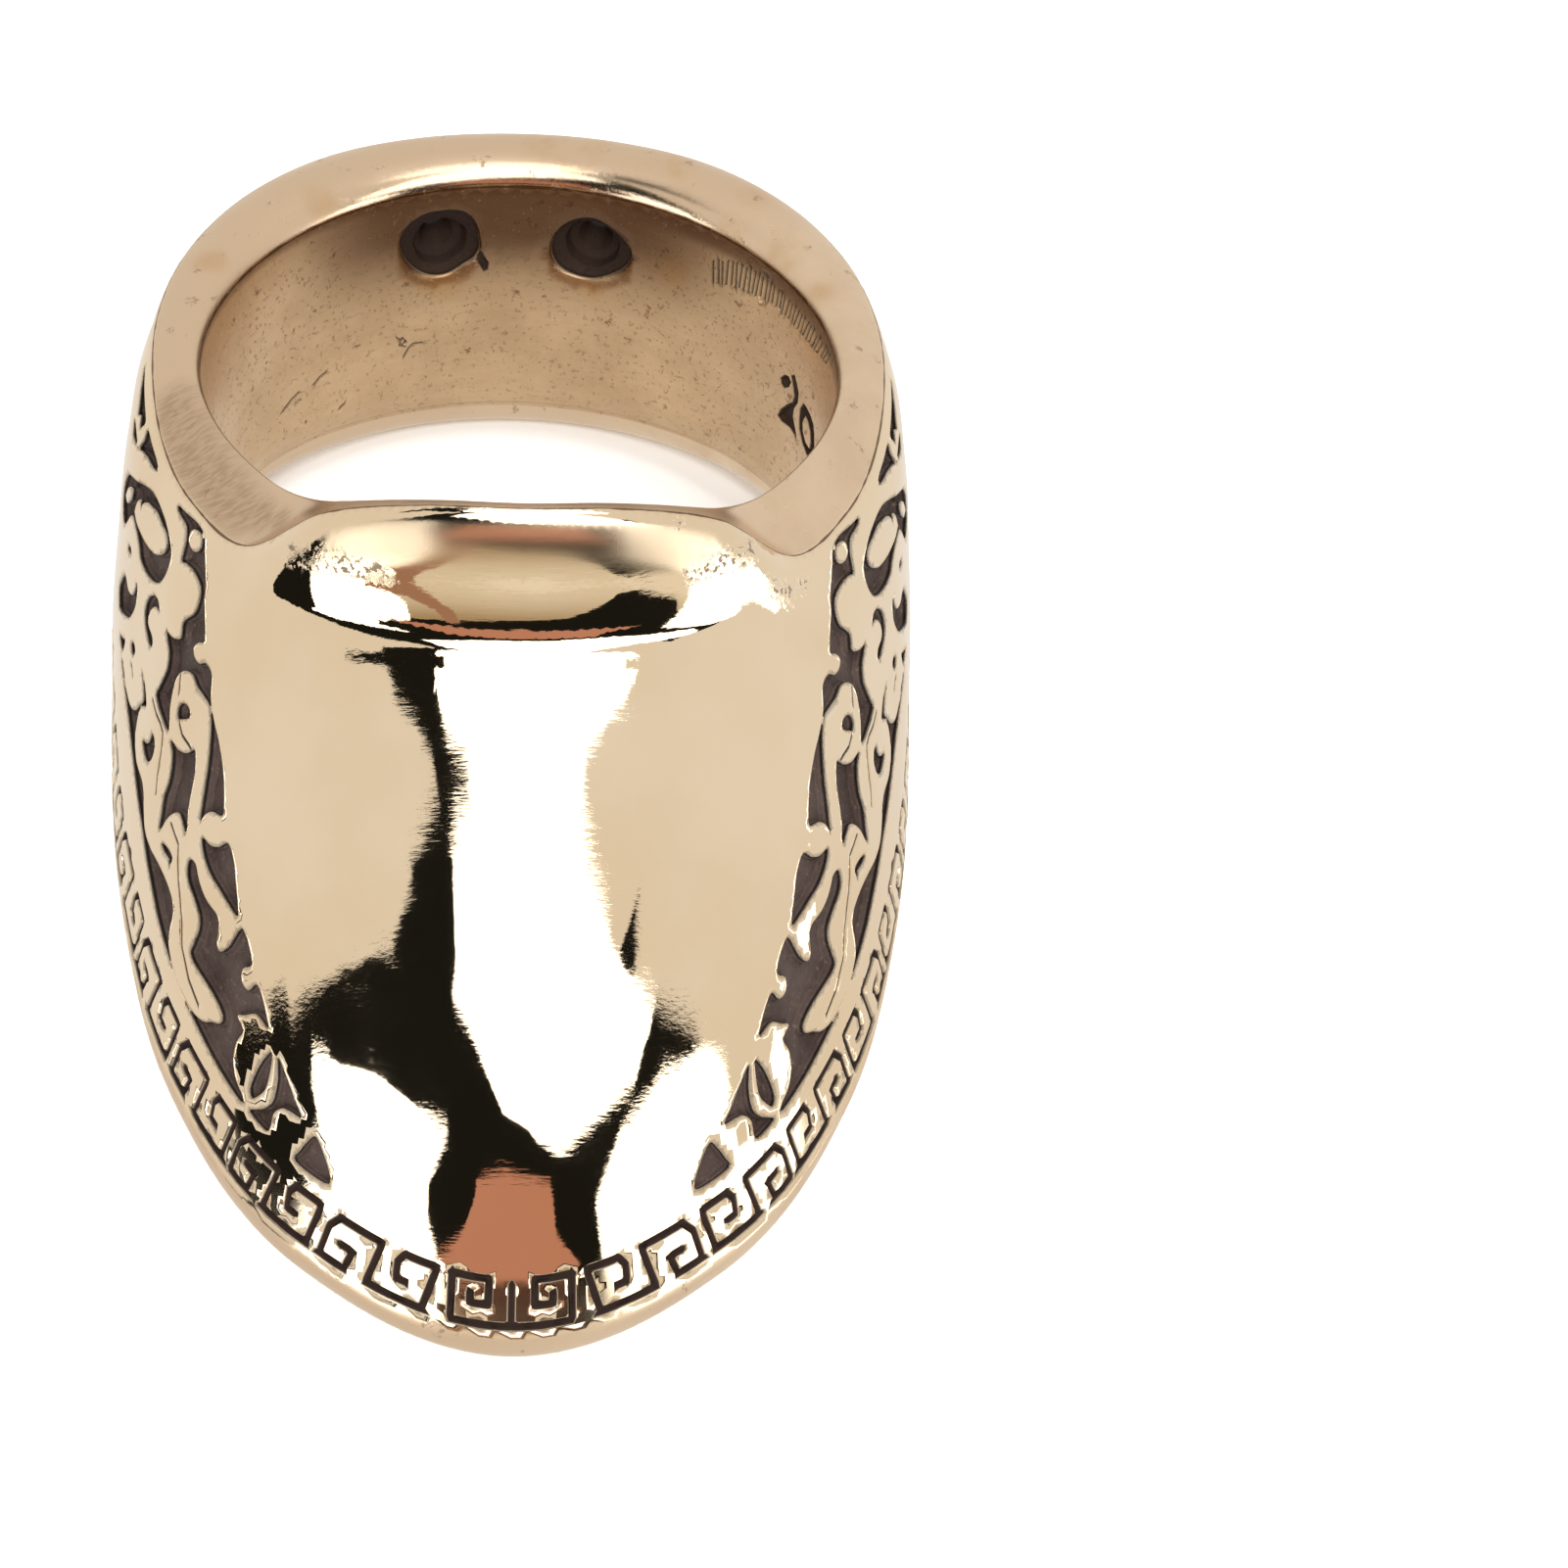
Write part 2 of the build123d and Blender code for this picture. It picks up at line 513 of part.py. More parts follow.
tilted = Rot(-rest_tilt, 0, 0) * ring
box = tilted.bounding_box()
thumb_ring = Pos(-box.center().X, -box.center().Y, -box.min.Z) * tilted
print(
    f"volume {thumb_ring.volume:.1f} mm3, {len(thumb_ring.solids())} solid, valid {thumb_ring.is_valid}, "
    f"size {box.size.X:.2f} x {box.size.Y:.2f} x {box.size.Z:.2f}, tilt {rest_tilt:.2f}, "
    f"rim's middle at {-box.center().X:.3f}, {-box.center().Y:.3f}, {-box.min.Z:.3f}"
)

os.makedirs("parts", exist_ok=True)
export_step(thumb_ring, "parts/thumb_ring.step")
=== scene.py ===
import json
import math
import bpy
import numpy as np
from mathutils import Matrix, Vector, kdtree
from mathutils.bvhtree import BVHTree
from mathutils.geometry import delaunay_2d_cdt
from mathutils.interpolate import poly_3d_calc


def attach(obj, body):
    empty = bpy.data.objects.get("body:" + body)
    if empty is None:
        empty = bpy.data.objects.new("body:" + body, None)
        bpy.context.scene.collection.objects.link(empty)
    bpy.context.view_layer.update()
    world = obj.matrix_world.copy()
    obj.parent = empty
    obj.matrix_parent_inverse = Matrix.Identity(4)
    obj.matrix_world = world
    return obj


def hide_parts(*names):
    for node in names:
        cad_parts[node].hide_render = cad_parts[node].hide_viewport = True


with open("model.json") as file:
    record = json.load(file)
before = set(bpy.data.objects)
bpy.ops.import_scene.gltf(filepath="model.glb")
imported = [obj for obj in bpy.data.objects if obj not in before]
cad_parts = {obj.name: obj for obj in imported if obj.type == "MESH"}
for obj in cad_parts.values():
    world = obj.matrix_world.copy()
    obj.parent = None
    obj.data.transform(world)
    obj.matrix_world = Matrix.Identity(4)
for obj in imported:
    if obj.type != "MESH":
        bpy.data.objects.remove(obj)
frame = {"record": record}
bpy.ops.object.select_all(action="DESELECT")
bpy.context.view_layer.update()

# The ring is drawn round its hole first, with Z along the hole, Z = 0 at the rim and the tongue to -Y,
# and set down as it rests once it is whole.
ring = {
    "holeDiameter": 0.0200,
    "wall": 0.0025,
    "bandHeight": 0.0090,
    "lipRise": 0.00335,
    "tongueReach": 0.0152,
    "tongueDrop": 0.0069,
    "edgeThickness": 0.0019,
    "faceFullness": 0.37,     # how long the stretches of a section keep to the slopes of their ends
    "rimFullness": 0.42,
    "frontRest": 33,          # turn at which the front edge touches the floor, in degrees
}
# How finely the ring is drawn
grid = {
    "columns": 360,           # round the ring
    "plainStep": 0.00034,     # between points of a plain part of the outer face
    "reliefStep": 0.00019,    # and among the scrolls
    "reliefNear": 0.00012,    # that is, this near to a line and this far from it
    "reliefFar": 0.0007,
    "contourStep": 0.00010,   # along an outline
    "innerStep": 0.00038,
    "rowShare": 0.87,         # from row to row, as a share of the step
    "outerShifts": (0.75, 0.25),   # where even and odd rows begin, as shares of the step
    "innerShifts": (0.7, 0.3),
    "rowSlack": 0.000022,     # a row beside a line stops where another line is nearer by this
    "onLine": 0.000004,       # a point this near to a line is on it
    "closest": 0.00005,       # that two points of the outer face come
    "innerClosest": 0.000035,
    "clearOfCrease": 0.00008,
    "clearOfEdge": 0.00007,
    "clearOfEnds": 0.00010,   # of the inner wall
    "clearTurns": (0.25, 179.7),
    "outerScale": (0.25, 12),      # about how many millimetres a degree is, and the whole way down
    "innerScale": (0.175, 8),
    "samePlace": 1e-9,
    "atOnce": 4000,           # points compared with an outline at a time
}
cord = {
    "hole": 0.0011,
    "step": 0.00175,
    "stepDepth": 0.0009,
    "seat": 0.0028,
    "seatDepth": 0.00035,
    "spacing": 0.00474,
    "belowRim": 0.0016,
    "clear": 1.08,            # of the seat's radius, that other points keep off
    "throat": 0.56,           # of the hole's radius, in the short narrow part inside
    "throatDepths": (0.00135, 0.0019),
    "throatEnd": 0.0022,
    "throatLift": 0.40,
    "points": 96,
}
relief = {
    "depth": 0.00035,
    "edges": (-0.00003, 0.00010),  # a sunken wall begins just outside its outline
    "rows": (0, -0.00003, 0.00003, 0.000065, 0.00010),  # of points beside an outline
}
keys = {
    "depth": 0.00024,
    "width": 0.00023,
    "waver": 0.22,            # how much the groove's width changes, as a share
    "pitch": 0.0044,
    "height": 0.00142,
    "aboveEdge": 0.00015,
    "start": 0.0024,
    "lineWidth": 0.00009,     # fine incised lines of the scrolls
    "lineDepth": 0.00008,
    "lineBeside": 0.00003,
    "edges": (-0.00006, 0.00004),  # where a groove's side begins and ends, from half its width
    "wobble": ((5200, -3900, 4700), (-9100, 6400, 3300), (2900, 8300, -7700)),
    "drawnUnit": 0.001,       # of the border's drawing, in metres
}

rowStep = 15                  # degrees between two rows
sectionNames = (
    "low rootOut rootDown top creaseOut creaseUp noseOut noseFall neckOut neckFall "
    "shoulderOut shoulderDown edgeOut reach drop tongue"
).split()
sectionRows = [
    (0.00, 0.52, 1.04, 0.52, 0.80, 1.00, 0.97, 0.14, 1.42, 1.07, 1.80, 0.125, 1.00, 1.00, 1.00, 1.00),
    (0.03, 0.52, 1.04, 0.47, 0.80, 0.93, 0.97, 0.14, 1.42, 1.02, 1.82, 0.145, 1.00, 0.83, 0.92, 0.97),
    (0.22, 0.44, 1.00, 0.28, 0.80, 0.58, 1.02, 0.14, 1.34, 0.76, 1.80, 0.235, 1.00, 0.54, 0.77, 0.83),
    (0.53, 0.28, 0.88, 0.09, 0.76, -0.22, 0.98, 0.18, 1.14, 0.45, 1.60, 0.480, 1.00, 0.29, 0.58, 0.52),
    (0.77, 0.14, 0.64, 0.09, 0.68, -0.28, 0.86, 0.21, 1.00, 0.61, 1.20, 0.580, 1.00, 0.13, 0.41, 0.25),
    (0.84, 0.08, 0.44, 0.09, 0.60, -0.21, 0.78, 0.24, 0.94, 0.72, 1.04, 0.590, 1.00, 0.04, 0.26, 0.08),
    (0.86, 0.05, 0.32, 0.06, 0.60, 0.00, 0.78, 0.27, 0.92, 0.84, 1.00, 0.555, 1.00, 0.01, 0.16, 0.00),
    (0.845, 0.05, 0.32, 0.08, 0.70, 0.09, 0.84, 0.30, 0.92, 0.87, 0.96, 0.530, 0.96, 0.00, -0.025, 0.00),
    (0.815, 0.05, 0.26, 0.10, 0.84, 0.18, 0.92, 0.33, 0.94, 0.93, 0.96, 0.520, 0.92, 0.00, -0.075, 0.00),
    (0.79, 0.05, 0.24, 0.13, 0.94, 0.27, 1.00, 0.37, 0.98, 0.99, 0.98, 0.510, 0.88, 0.00, -0.115, 0.00),
    (0.79, 0.05, 0.24, 0.16, 0.98, 0.33, 1.04, 0.42, 1.00, 1.04, 1.00, 0.510, 0.88, 0.00, -0.115, 0.00),
    (0.79, 0.05, 0.24, 0.18, 0.96, 0.34, 1.02, 0.43, 1.00, 1.06, 1.00, 0.510, 0.88, 0.00, -0.115, 0.00),
    (0.79, 0.05, 0.24, 0.18, 0.94, 0.34, 1.00, 0.43, 1.00, 1.06, 1.00, 0.510, 0.88, 0.00, -0.115, 0.00),
]

# Slopes where the stretches of a section meet, in degrees, for the tongue and for the band
slopes = {
    "wall": (54, 70),
    "creaseIn": (20, -38),
    "crease": (-30, -55),
    "nose": (-60, -72),
    "neck": (-63, -82),
    "shoulder": (-40, -87),
    "edge": (-63, -93),
    "root": (142, 95),
}
outerNames = ("crease", "nose", "neck", "shoulder", "edge")
holeRadius = ring["holeDiameter"] / 2

# Sunken ground of the scrollwork on one side, as outlines of turn from the tongue in degrees and
# share of the way down from the crease to the lower edge
groundOutlines = {
    "upper": [
        (62.5, 0.040), (60, 0.034), (57, 0.026), (55, 0.028), (53.4, 0.042), (51.5, 0.085), (50, 0.13),
        (49.2, 0.17), (47.8, 0.205), (45.8, 0.25), (46.8, 0.262), (47.5, 0.28), (46.6, 0.297),
        (45, 0.302), (43.6, 0.292), (41.5, 0.31), (39.8, 0.36), (37.5, 0.40), (35.5, 0.43),
        (33.2, 0.475), (31.8, 0.52), (31.6, 0.54), (33.3, 0.547), (34.3, 0.56), (34.9, 0.578),
        (35.4, 0.54), (36.3, 0.475), (37.8, 0.415), (39.5, 0.375), (41.5, 0.36), (43.5, 0.35),
        (45.5, 0.335), (47.5, 0.345), (48.8, 0.375), (48.8, 0.41), (48, 0.45), (46.9, 0.48),
        (46.8, 0.497), (50, 0.498), (53.2, 0.495), (53, 0.47), (52.6, 0.44), (52.3, 0.41),
        (52.6, 0.39), (53.5, 0.37), (56.3, 0.352), (54.5, 0.34), (52.5, 0.32), (51.5, 0.30),
        (52.3, 0.27), (51.5, 0.245), (50.6, 0.225), (50.3, 0.20), (50.6, 0.165), (51.5, 0.145),
        (53.5, 0.135), (55.5, 0.14), (57, 0.15), (57.2, 0.13), (57.4, 0.09), (58.5, 0.06),
        (60.5, 0.055), (62, 0.05),
    ],
    "besideStem": [
        (39.6, 0.47), (41, 0.488), (43, 0.50), (45.4, 0.502), (44.3, 0.52), (43.5, 0.545),
        (43.1, 0.58), (43.3, 0.62), (42.9, 0.655), (42.6, 0.685), (42.1, 0.68), (41.3, 0.645),
        (40.3, 0.62), (39.2, 0.606), (38.2, 0.61), (37, 0.623), (36.8, 0.61), (37.5, 0.58),
        (37.9, 0.54), (38.4, 0.50),
    ],
    "underBulb": [
        (29.8, 0.573), (31, 0.59), (32.2, 0.599), (33.8, 0.60), (33.2, 0.62), (31.5, 0.64),
        (29.5, 0.65), (26.6, 0.662), (26.7, 0.645), (27.5, 0.62), (28.5, 0.59),
    ],
    "lower": [
        (35, 0.655), (33.8, 0.652), (32.5, 0.672), (31, 0.685), (29, 0.69), (28.5, 0.705),
        (28.3, 0.728), (27.7, 0.734), (26.8, 0.715), (26, 0.68), (25.5, 0.67), (24.4, 0.683),
        (23.6, 0.705), (24.5, 0.722), (24.3, 0.74), (23.4, 0.742), (22.7, 0.724), (21.9, 0.73),
        (21, 0.75), (20.5, 0.766), (22, 0.762), (23.2, 0.778), (24, 0.79), (23.1, 0.80),
        (23.6, 0.825), (23.6, 0.85), (22.9, 0.872), (21.8, 0.884), (22, 0.893), (26, 0.885),
        (30, 0.872), (34, 0.855), (38.5, 0.83), (41, 0.81), (44, 0.787), (47, 0.76), (50, 0.742),
        (54, 0.725), (60, 0.714), (66, 0.710), (70, 0.706), (69.5, 0.694), (66, 0.70),
        (63.5, 0.695), (61, 0.68), (59, 0.65), (57.8, 0.61), (57, 0.58), (58.8, 0.562),
        (61, 0.552), (58.5, 0.551), (55.4, 0.566), (56.3, 0.585), (57.2, 0.61), (57.3, 0.64),
        (56.6, 0.67), (55.3, 0.69), (53.5, 0.70), (51.5, 0.694), (50, 0.69), (48.8, 0.698),
        (47.8, 0.715), (46.7, 0.74), (45.5, 0.752), (43.5, 0.753), (41, 0.746), (38.5, 0.746),
        (36.4, 0.758), (35.8, 0.78), (35.8, 0.81), (35.2, 0.837), (33.5, 0.855), (31.5, 0.864),
        (29.5, 0.866), (28, 0.857), (27, 0.842), (25.9, 0.828), (25.9, 0.813), (27.5, 0.803),
        (31.4, 0.795), (31.5, 0.77), (31.2, 0.745), (31.5, 0.722), (32.8, 0.706), (34.4, 0.692),
        (35.1, 0.675),
    ],
    "crescent": [
        (60.2, 0.18), (60.8, 0.155), (62.3, 0.133), (64.5, 0.115), (67.5, 0.108), (70, 0.112),
        (72, 0.125), (75, 0.158), (78, 0.20), (81, 0.24), (83.5, 0.28), (85, 0.33), (85.5, 0.38),
        (84, 0.42), (82, 0.43), (80.5, 0.405), (79, 0.36), (77.8, 0.325), (76.2, 0.302),
        (73.2, 0.305), (71.3, 0.322), (70, 0.342), (67.5, 0.34), (64.5, 0.322), (62.3, 0.295),
        (61, 0.26), (60.3, 0.22),
    ],
    "hook": [
        (60, 0.35), (61.2, 0.336), (62.6, 0.342), (64.2, 0.372), (65, 0.41), (64.7, 0.44),
        (63.3, 0.46), (61, 0.468), (59.8, 0.462), (59.5, 0.447), (60.6, 0.438), (62.5, 0.44),
        (63.2, 0.425), (63, 0.395), (61.8, 0.365), (60.8, 0.357),
    ],
    "wedge": [
        (72, 0.057), (73.6, 0.048), (77, 0.05), (80.6, 0.056), (80.2, 0.085), (80.8, 0.13),
        (79, 0.11), (76.5, 0.088), (73.5, 0.073),
    ],
    "teeth": [
        (82.5, 0.062), (86, 0.057), (90, 0.056), (94, 0.054), (91, 0.075), (88, 0.095),
        (86.5, 0.11), (85, 0.09), (83.5, 0.105), (82.8, 0.085),
    ],
    "slot": [(82, 0.146), (84.5, 0.142), (87.2, 0.146), (87.2, 0.162), (85.8, 0.175), (83.8, 0.165)],
    "nape": [
        (70.2, 0.425), (69.3, 0.45), (69, 0.485), (69.6, 0.525), (70.6, 0.56), (72.2, 0.59),
        (74.2, 0.62), (76.2, 0.65), (78.2, 0.665), (79.8, 0.64), (79.6, 0.61), (78.2, 0.56),
        (76.4, 0.522), (74, 0.522), (72, 0.505), (70.8, 0.48), (70.3, 0.45),
    ],
    "notch": [(70.5, 0.642), (71.8, 0.66), (74, 0.695), (71.5, 0.69), (70.3, 0.668)],
    "eyeFront": [
        (42.9, 0.42), (43.4, 0.406), (44.5, 0.402), (45.6, 0.41), (46, 0.428), (45.3, 0.446),
        (44.3, 0.437),
    ],
    "eyeMiddle": [
        (49.4, 0.565), (48.8, 0.585), (49, 0.61), (50, 0.633), (51.5, 0.638), (53.2, 0.63),
        (51.6, 0.61), (50.9, 0.587), (50.8, 0.566),
    ],
    "eyeBack": [(74.6, 0.398), (75.8, 0.403), (77, 0.42), (77, 0.433), (75.8, 0.426), (74.8, 0.412)],
    "eyeLow": [(65, 0.572), (66, 0.567), (67, 0.576), (67.3, 0.59), (66.3, 0.598), (65.3, 0.59)],
    "slit": [(38.2, 0.693), (39.5, 0.690), (41.2, 0.70), (40.3, 0.707), (39, 0.705), (38.5, 0.712)],
    "pearSlot": [
        (19.8, 0.79), (20.5, 0.81), (21, 0.835), (21.3, 0.862), (20.9, 0.872), (20.2, 0.858),
        (19.7, 0.84), (19.6, 0.81),
    ],
    "fin": [
        (19.1, 0.79), (18, 0.805), (16.9, 0.826), (16.1, 0.842), (17.2, 0.845), (18, 0.85),
        (18.6, 0.865), (18.7, 0.885), (19.1, 0.895), (20.9, 0.892), (20.4, 0.882), (19.5, 0.868),
        (18.9, 0.85), (18.8, 0.82),
    ],
    "sail": [
        (14.7, 0.853), (13.8, 0.87), (13.1, 0.893), (13.5, 0.904), (16.1, 0.901), (15.8, 0.882),
        (15.3, 0.865),
    ],
}

raisedLeaves = {
    "upper": [[
        (53.5, 0.065), (54, 0.045), (55.3, 0.038), (56.6, 0.046), (57, 0.065), (56.5, 0.085),
        (55.3, 0.092), (54, 0.084),
    ]],
    "crescent": [
        [
            (62, 0.165), (62.2, 0.19), (63.2, 0.215), (65.2, 0.243), (68, 0.262), (71, 0.275),
            (74, 0.284), (75.8, 0.278), (76, 0.255), (75.4, 0.225), (74.4, 0.203), (73.6, 0.213),
            (72.9, 0.19), (71.5, 0.165), (70, 0.152), (67.5, 0.135), (65, 0.138), (62.9, 0.143),
        ],
        [
            (79, 0.25), (80.5, 0.27), (82, 0.30), (82.8, 0.335), (82, 0.35), (80.8, 0.335),
            (79.6, 0.305), (78.7, 0.275),
        ],
    ],
}

repeatAbout = 92              # towards the back these come again, mirrored about this turn
repeated = ("crescent", "hook", "nape", "notch", "wedge")

keyDrawn = (4.4, 1.42)
keySpiral = [
    (1.05, 0.60), (1.38, 0.60), (1.36, 1.12), (1.12, 1.42), (0.00, 1.42), (0.45, 0.00), (2.45, 0.00),
    (1.95, 1.42), (3.60, 1.42), (4.00, 1.00), (4.28, 0.00), (3.30, 0.00), (3.02, 0.66), (3.42, 0.66),
]
keyTip = [
    (0.00, 1.30), (0.00, 0.00), (1.90, 0.00), (1.90, 1.42), (0.72, 1.42), (0.72, 0.62), (1.30, 0.62),
    (1.30, 0.95),
]

# Fine incised lines of the ornament, as turn and share of the way down
incised = [
    [(40, 0.64), (37.5, 0.655), (37, 0.68), (36, 0.71), (34, 0.76), (33, 0.80), (31, 0.83), (29, 0.845)],
    [(53.5, 0.515), (51, 0.515), (49, 0.51), (47.7, 0.515), (46.8, 0.545), (46, 0.60), (45.2, 0.635)],
    [(48, 0.36), (46.8, 0.40)],
    [(41, 0.47), (43, 0.465), (44.5, 0.45)],
    [(63, 0.62), (64.2, 0.612), (65, 0.615)],
]


def unit(v):
    return v / np.maximum(np.linalg.norm(v, axis=-1, keepdims=True), 1e-12)


def cubic(a, b, c, d, t):
    # A smooth curve from b to c, with a before them and d after them
    return (2 * b + (c - a) * t + (2 * a - 5 * b + 4 * c - d) * t**2 + (3 * b - 3 * c + d - a) * t**3) / 2


def lengthsOf(line):
    return np.linalg.norm(np.diff(line, axis=0), axis=1)


def alongLine(line, shares):
    ways = np.concatenate([[0], np.cumsum(lengthsOf(line))])
    return np.stack([np.interp(shares * ways[-1], ways, column) for column in np.transpose(line)], axis=1)


def stepped(points, gaps, spacing, whole=round):
    # Even steps along a line of points, whose stretches have the given lengths
    spots = []
    for a, b, gap in zip(points[:-1], points[1:], gaps):
        steps = max(1, whole(gap / spacing))
        spots += [a + (b - a) * t for t in np.arange(steps) / steps]
    return np.array(spots + [points[-1]])


def treeOf(places):
    tree = kdtree.KDTree(len(places))
    for k, p in enumerate(places):
        tree.insert(p, k)
    tree.balance()
    return tree


def sectionSizes(turns):
    place = np.abs((turns + 180) % 360 - 180) / rowStep
    rows = np.array(sectionRows)
    last = len(rows) - 1
    first = np.minimum(place.astype(int), last - 1)
    around = (rows[np.minimum(np.abs(first + k), 2 * last - np.abs(first + k))] for k in (-1, 0, 1, 2))
    return dict(zip(sectionNames, cubic(*around, (place - first)[:, None]).T))


def way(angle):
    angle = np.radians(angle)
    return np.stack([np.cos(angle), np.sin(angle)], axis=-1)


def sectionCorners(turns):
    s = sectionSizes(turns)
    slope = {name: front * s["tongue"] + band * (1 - s["tongue"]) for name, (front, band) in slopes.items()}
    wall, rise, height = ring["wall"], ring["lipRise"], ring["bandHeight"]
    creaseUp = rise * s["creaseUp"]

    def corner(out, up):
        return np.stack([holeRadius + out, up], axis=-1)

    zero = np.zeros(len(turns))
    p = {
        "low": corner(zero, -height * s["low"]),
        "top": corner(zero, rise * s["top"]),
        "crease": corner(wall * s["creaseOut"], creaseUp),
        "nose": corner(wall * s["noseOut"], creaseUp - rise * s["noseFall"]),
        "neck": corner(wall * s["neckOut"], creaseUp - rise * s["neckFall"]),
        "shoulder": corner(wall * s["shoulderOut"], -height * s["shoulderDown"]),
        "edge": corner(
            wall * s["edgeOut"] + ring["tongueReach"] * s["reach"],
            -height - ring["tongueDrop"] * s["drop"],
        ),
    }
    p["edgeIn"] = p["edge"] + way(slope["edge"] - 90) * ring["edgeThickness"]
    p["root"] = p["low"] + np.stack([wall * s["rootOut"], -wall * s["rootDown"]], axis=-1)
    return p, slope


def bend(a, b, slopeA, slopeB, steps, fullness=ring["faceFullness"]):
    reach = fullness * np.linalg.norm(b - a, axis=-1, keepdims=True)
    c = a + way(slopeA) * reach
    d = b - way(slopeB) * reach
    t = steps[None, :, None]
    a, b, c, d = a[:, None], b[:, None], c[:, None], d[:, None]
    return a * (1 - t) ** 3 + c * 3 * (1 - t) ** 2 * t + d * 3 * (1 - t) * t**2 + b * t**3


def inSpace(turns, line):
    turns = np.radians(turns)[:, None]
    return np.stack([line[..., 0] * np.sin(turns), -line[..., 0] * np.cos(turns), line[..., 1]], axis=-1)


def outerLines(turns, samples=64):
    p, slope = sectionCorners(turns)
    steps = np.linspace(0, 1, samples + 1)
    parts = []
    for a, b in zip(outerNames[:-1], outerNames[1:]):
        piece = bend(p[a], p[b], slope[a], slope[b], steps)
        parts.append(piece if not parts else piece[:, 1:])
    return np.concatenate(parts, axis=1)


# A fine table of the outer face: position and outward normal at each turn and share of the way down
faceTurns = np.arange(-1, 181.001, 0.25)
faceDowns = np.linspace(0, 1, 257)
edgeRows = 4                  # of the table, before the middle of the tongue and past that of the back
faceLines = outerLines(faceTurns)
faceLengths = np.array([np.cumsum(lengthsOf(line))[-1] for line in faceLines])
faceTable = inSpace(faceTurns, np.array([alongLine(line, faceDowns) for line in faceLines]))
perTurn = np.gradient(faceTable, faceTurns, axis=0)
perDown = np.gradient(faceTable, faceDowns, axis=1)
normalTable = unit(np.cross(perDown, perTurn))


def look(table, chart):
    u = (chart[:, 0] - faceTurns[0]) / (faceTurns[1] - faceTurns[0])
    v = np.clip(chart[:, 1], 0, 1) * (len(faceDowns) - 1)
    i = np.clip(u.astype(int), 0, len(faceTurns) - 2)
    j = np.clip(v.astype(int), 0, len(faceDowns) - 2)
    u, v = (u - i)[:, None], (v - j)[:, None]
    return (table[i, j] * (1 - u) * (1 - v) + table[i + 1, j] * u * (1 - v)
            + table[i, j + 1] * (1 - u) * v + table[i + 1, j + 1] * u * v)


def facePlace(chart):
    return look(faceTable, chart)


# The camera stands where the photograph was taken from, worked out from the ring's outline in it
view = {
    "axisAngle": 53.5,        # between the view and the hole's axis, in degrees
    "yaw": 3.4,
    "roll": -3.0,
    "distance": 0.300,
    "perMetre": 32500,        # pixels of the photograph for a metre at the rim's middle
    "rimAt": (530, 385),      # where the rim's middle lies in it
    "frame": 1601,
    "sensor": 36,
    "clipStart": 0.01,
}


def sightAxes():
    angle, roll, yaw = (math.radians(view[name]) for name in ("axisAngle", "roll", "yaw"))
    right, up = np.array((1, 0, 0)), np.array((0, math.cos(angle), math.sin(angle)))
    back = np.array((0, -math.sin(angle), math.cos(angle)))
    right, up = math.cos(roll) * right - math.sin(roll) * up, math.sin(roll) * right + math.cos(roll) * up
    middle = view["frame"] / 2
    aside = (view["rimAt"][0] - middle) / view["perMetre"]
    above = (middle - view["rimAt"][1]) / view["perMetre"]
    turn = np.array(Matrix.Rotation(-yaw, 3, "Z"))
    spot = turn @ (back * view["distance"] - right * aside - up * above)
    return spot, turn @ np.stack([right, up, back], axis=1)


sightFrom, sightTurn = sightAxes()


def sightLines(pixels):
    # From the camera through places of the photograph, about the ring before it is set down
    pixels = np.array(pixels, float)
    middle = view["frame"] / 2
    far = np.full(len(pixels), -view["perMetre"] * view["distance"])
    return unit(np.stack([pixels[:, 0] - middle, middle - pixels[:, 1], far], axis=1) @ sightTurn.T)


def turnsOf(spots):
    return np.degrees(np.arctan2(spots[:, 0], -spots[:, 1])) % 360


def onHoleWall(pixels):
    # Turn and height of places seen on the inner wall
    lines = sightLines(pixels)
    a = (lines[:, :2] ** 2).sum(1)
    b = (lines[:, :2] * sightFrom[:2]).sum(1)
    c = (sightFrom[:2] ** 2).sum() - holeRadius**2
    spots = sightFrom + lines * ((np.sqrt(b * b - a * c) - b) / a)[:, None]
    return np.stack([turnsOf(spots), spots[:, 2]], axis=1)


def chartShift(chart, move):
    a, b = look(perTurn, chart), look(perDown, chart)
    aa, ab, bb = (a * a).sum(1), (a * b).sum(1), (b * b).sum(1)
    am, bm = (a * move).sum(1), (b * move).sum(1)
    whole = aa * bb - ab * ab
    return np.stack([(am * bb - bm * ab) / whole, (bm * aa - am * ab) / whole], axis=1)


def roundedLoop(points):
    count = len(points)
    spots = []
    for k in range(count):
        around = [points[(k + m) % count] for m in (-1, 0, 1, 2)]
        gap = np.linalg.norm(facePlace(around[1][None]) - facePlace(around[2][None]))
        steps = max(1, round(gap / grid["contourStep"]))
        spots += [cubic(*around, t) for t in np.arange(steps) / steps]
    return np.array(spots)


def signedArea(loop):
    x, y = loop.T
    return (x * np.roll(y, -1) - y * np.roll(x, -1)).sum() / 2


def loopsOf(name, back):
    placed = []
    for k, loop in enumerate([groundOutlines[name]] + raisedLeaves.get(name, [])):
        loop = np.array(loop, float)
        if back:
            loop[:, 0] = 2 * repeatAbout - loop[:, 0]
        if (signedArea(loop) > 0) != (k == 0):
            loop = loop[::-1]
        placed.append(roundedLoop(loop))
    return placed


shapes = [loopsOf(name, False) for name in groundOutlines] + [loopsOf(name, True) for name in repeated]
edgeTurns = faceTurns[edgeRows:]
edgeWays = np.concatenate([[0], np.cumsum(lengthsOf(faceTable[edgeRows:, -1]))])


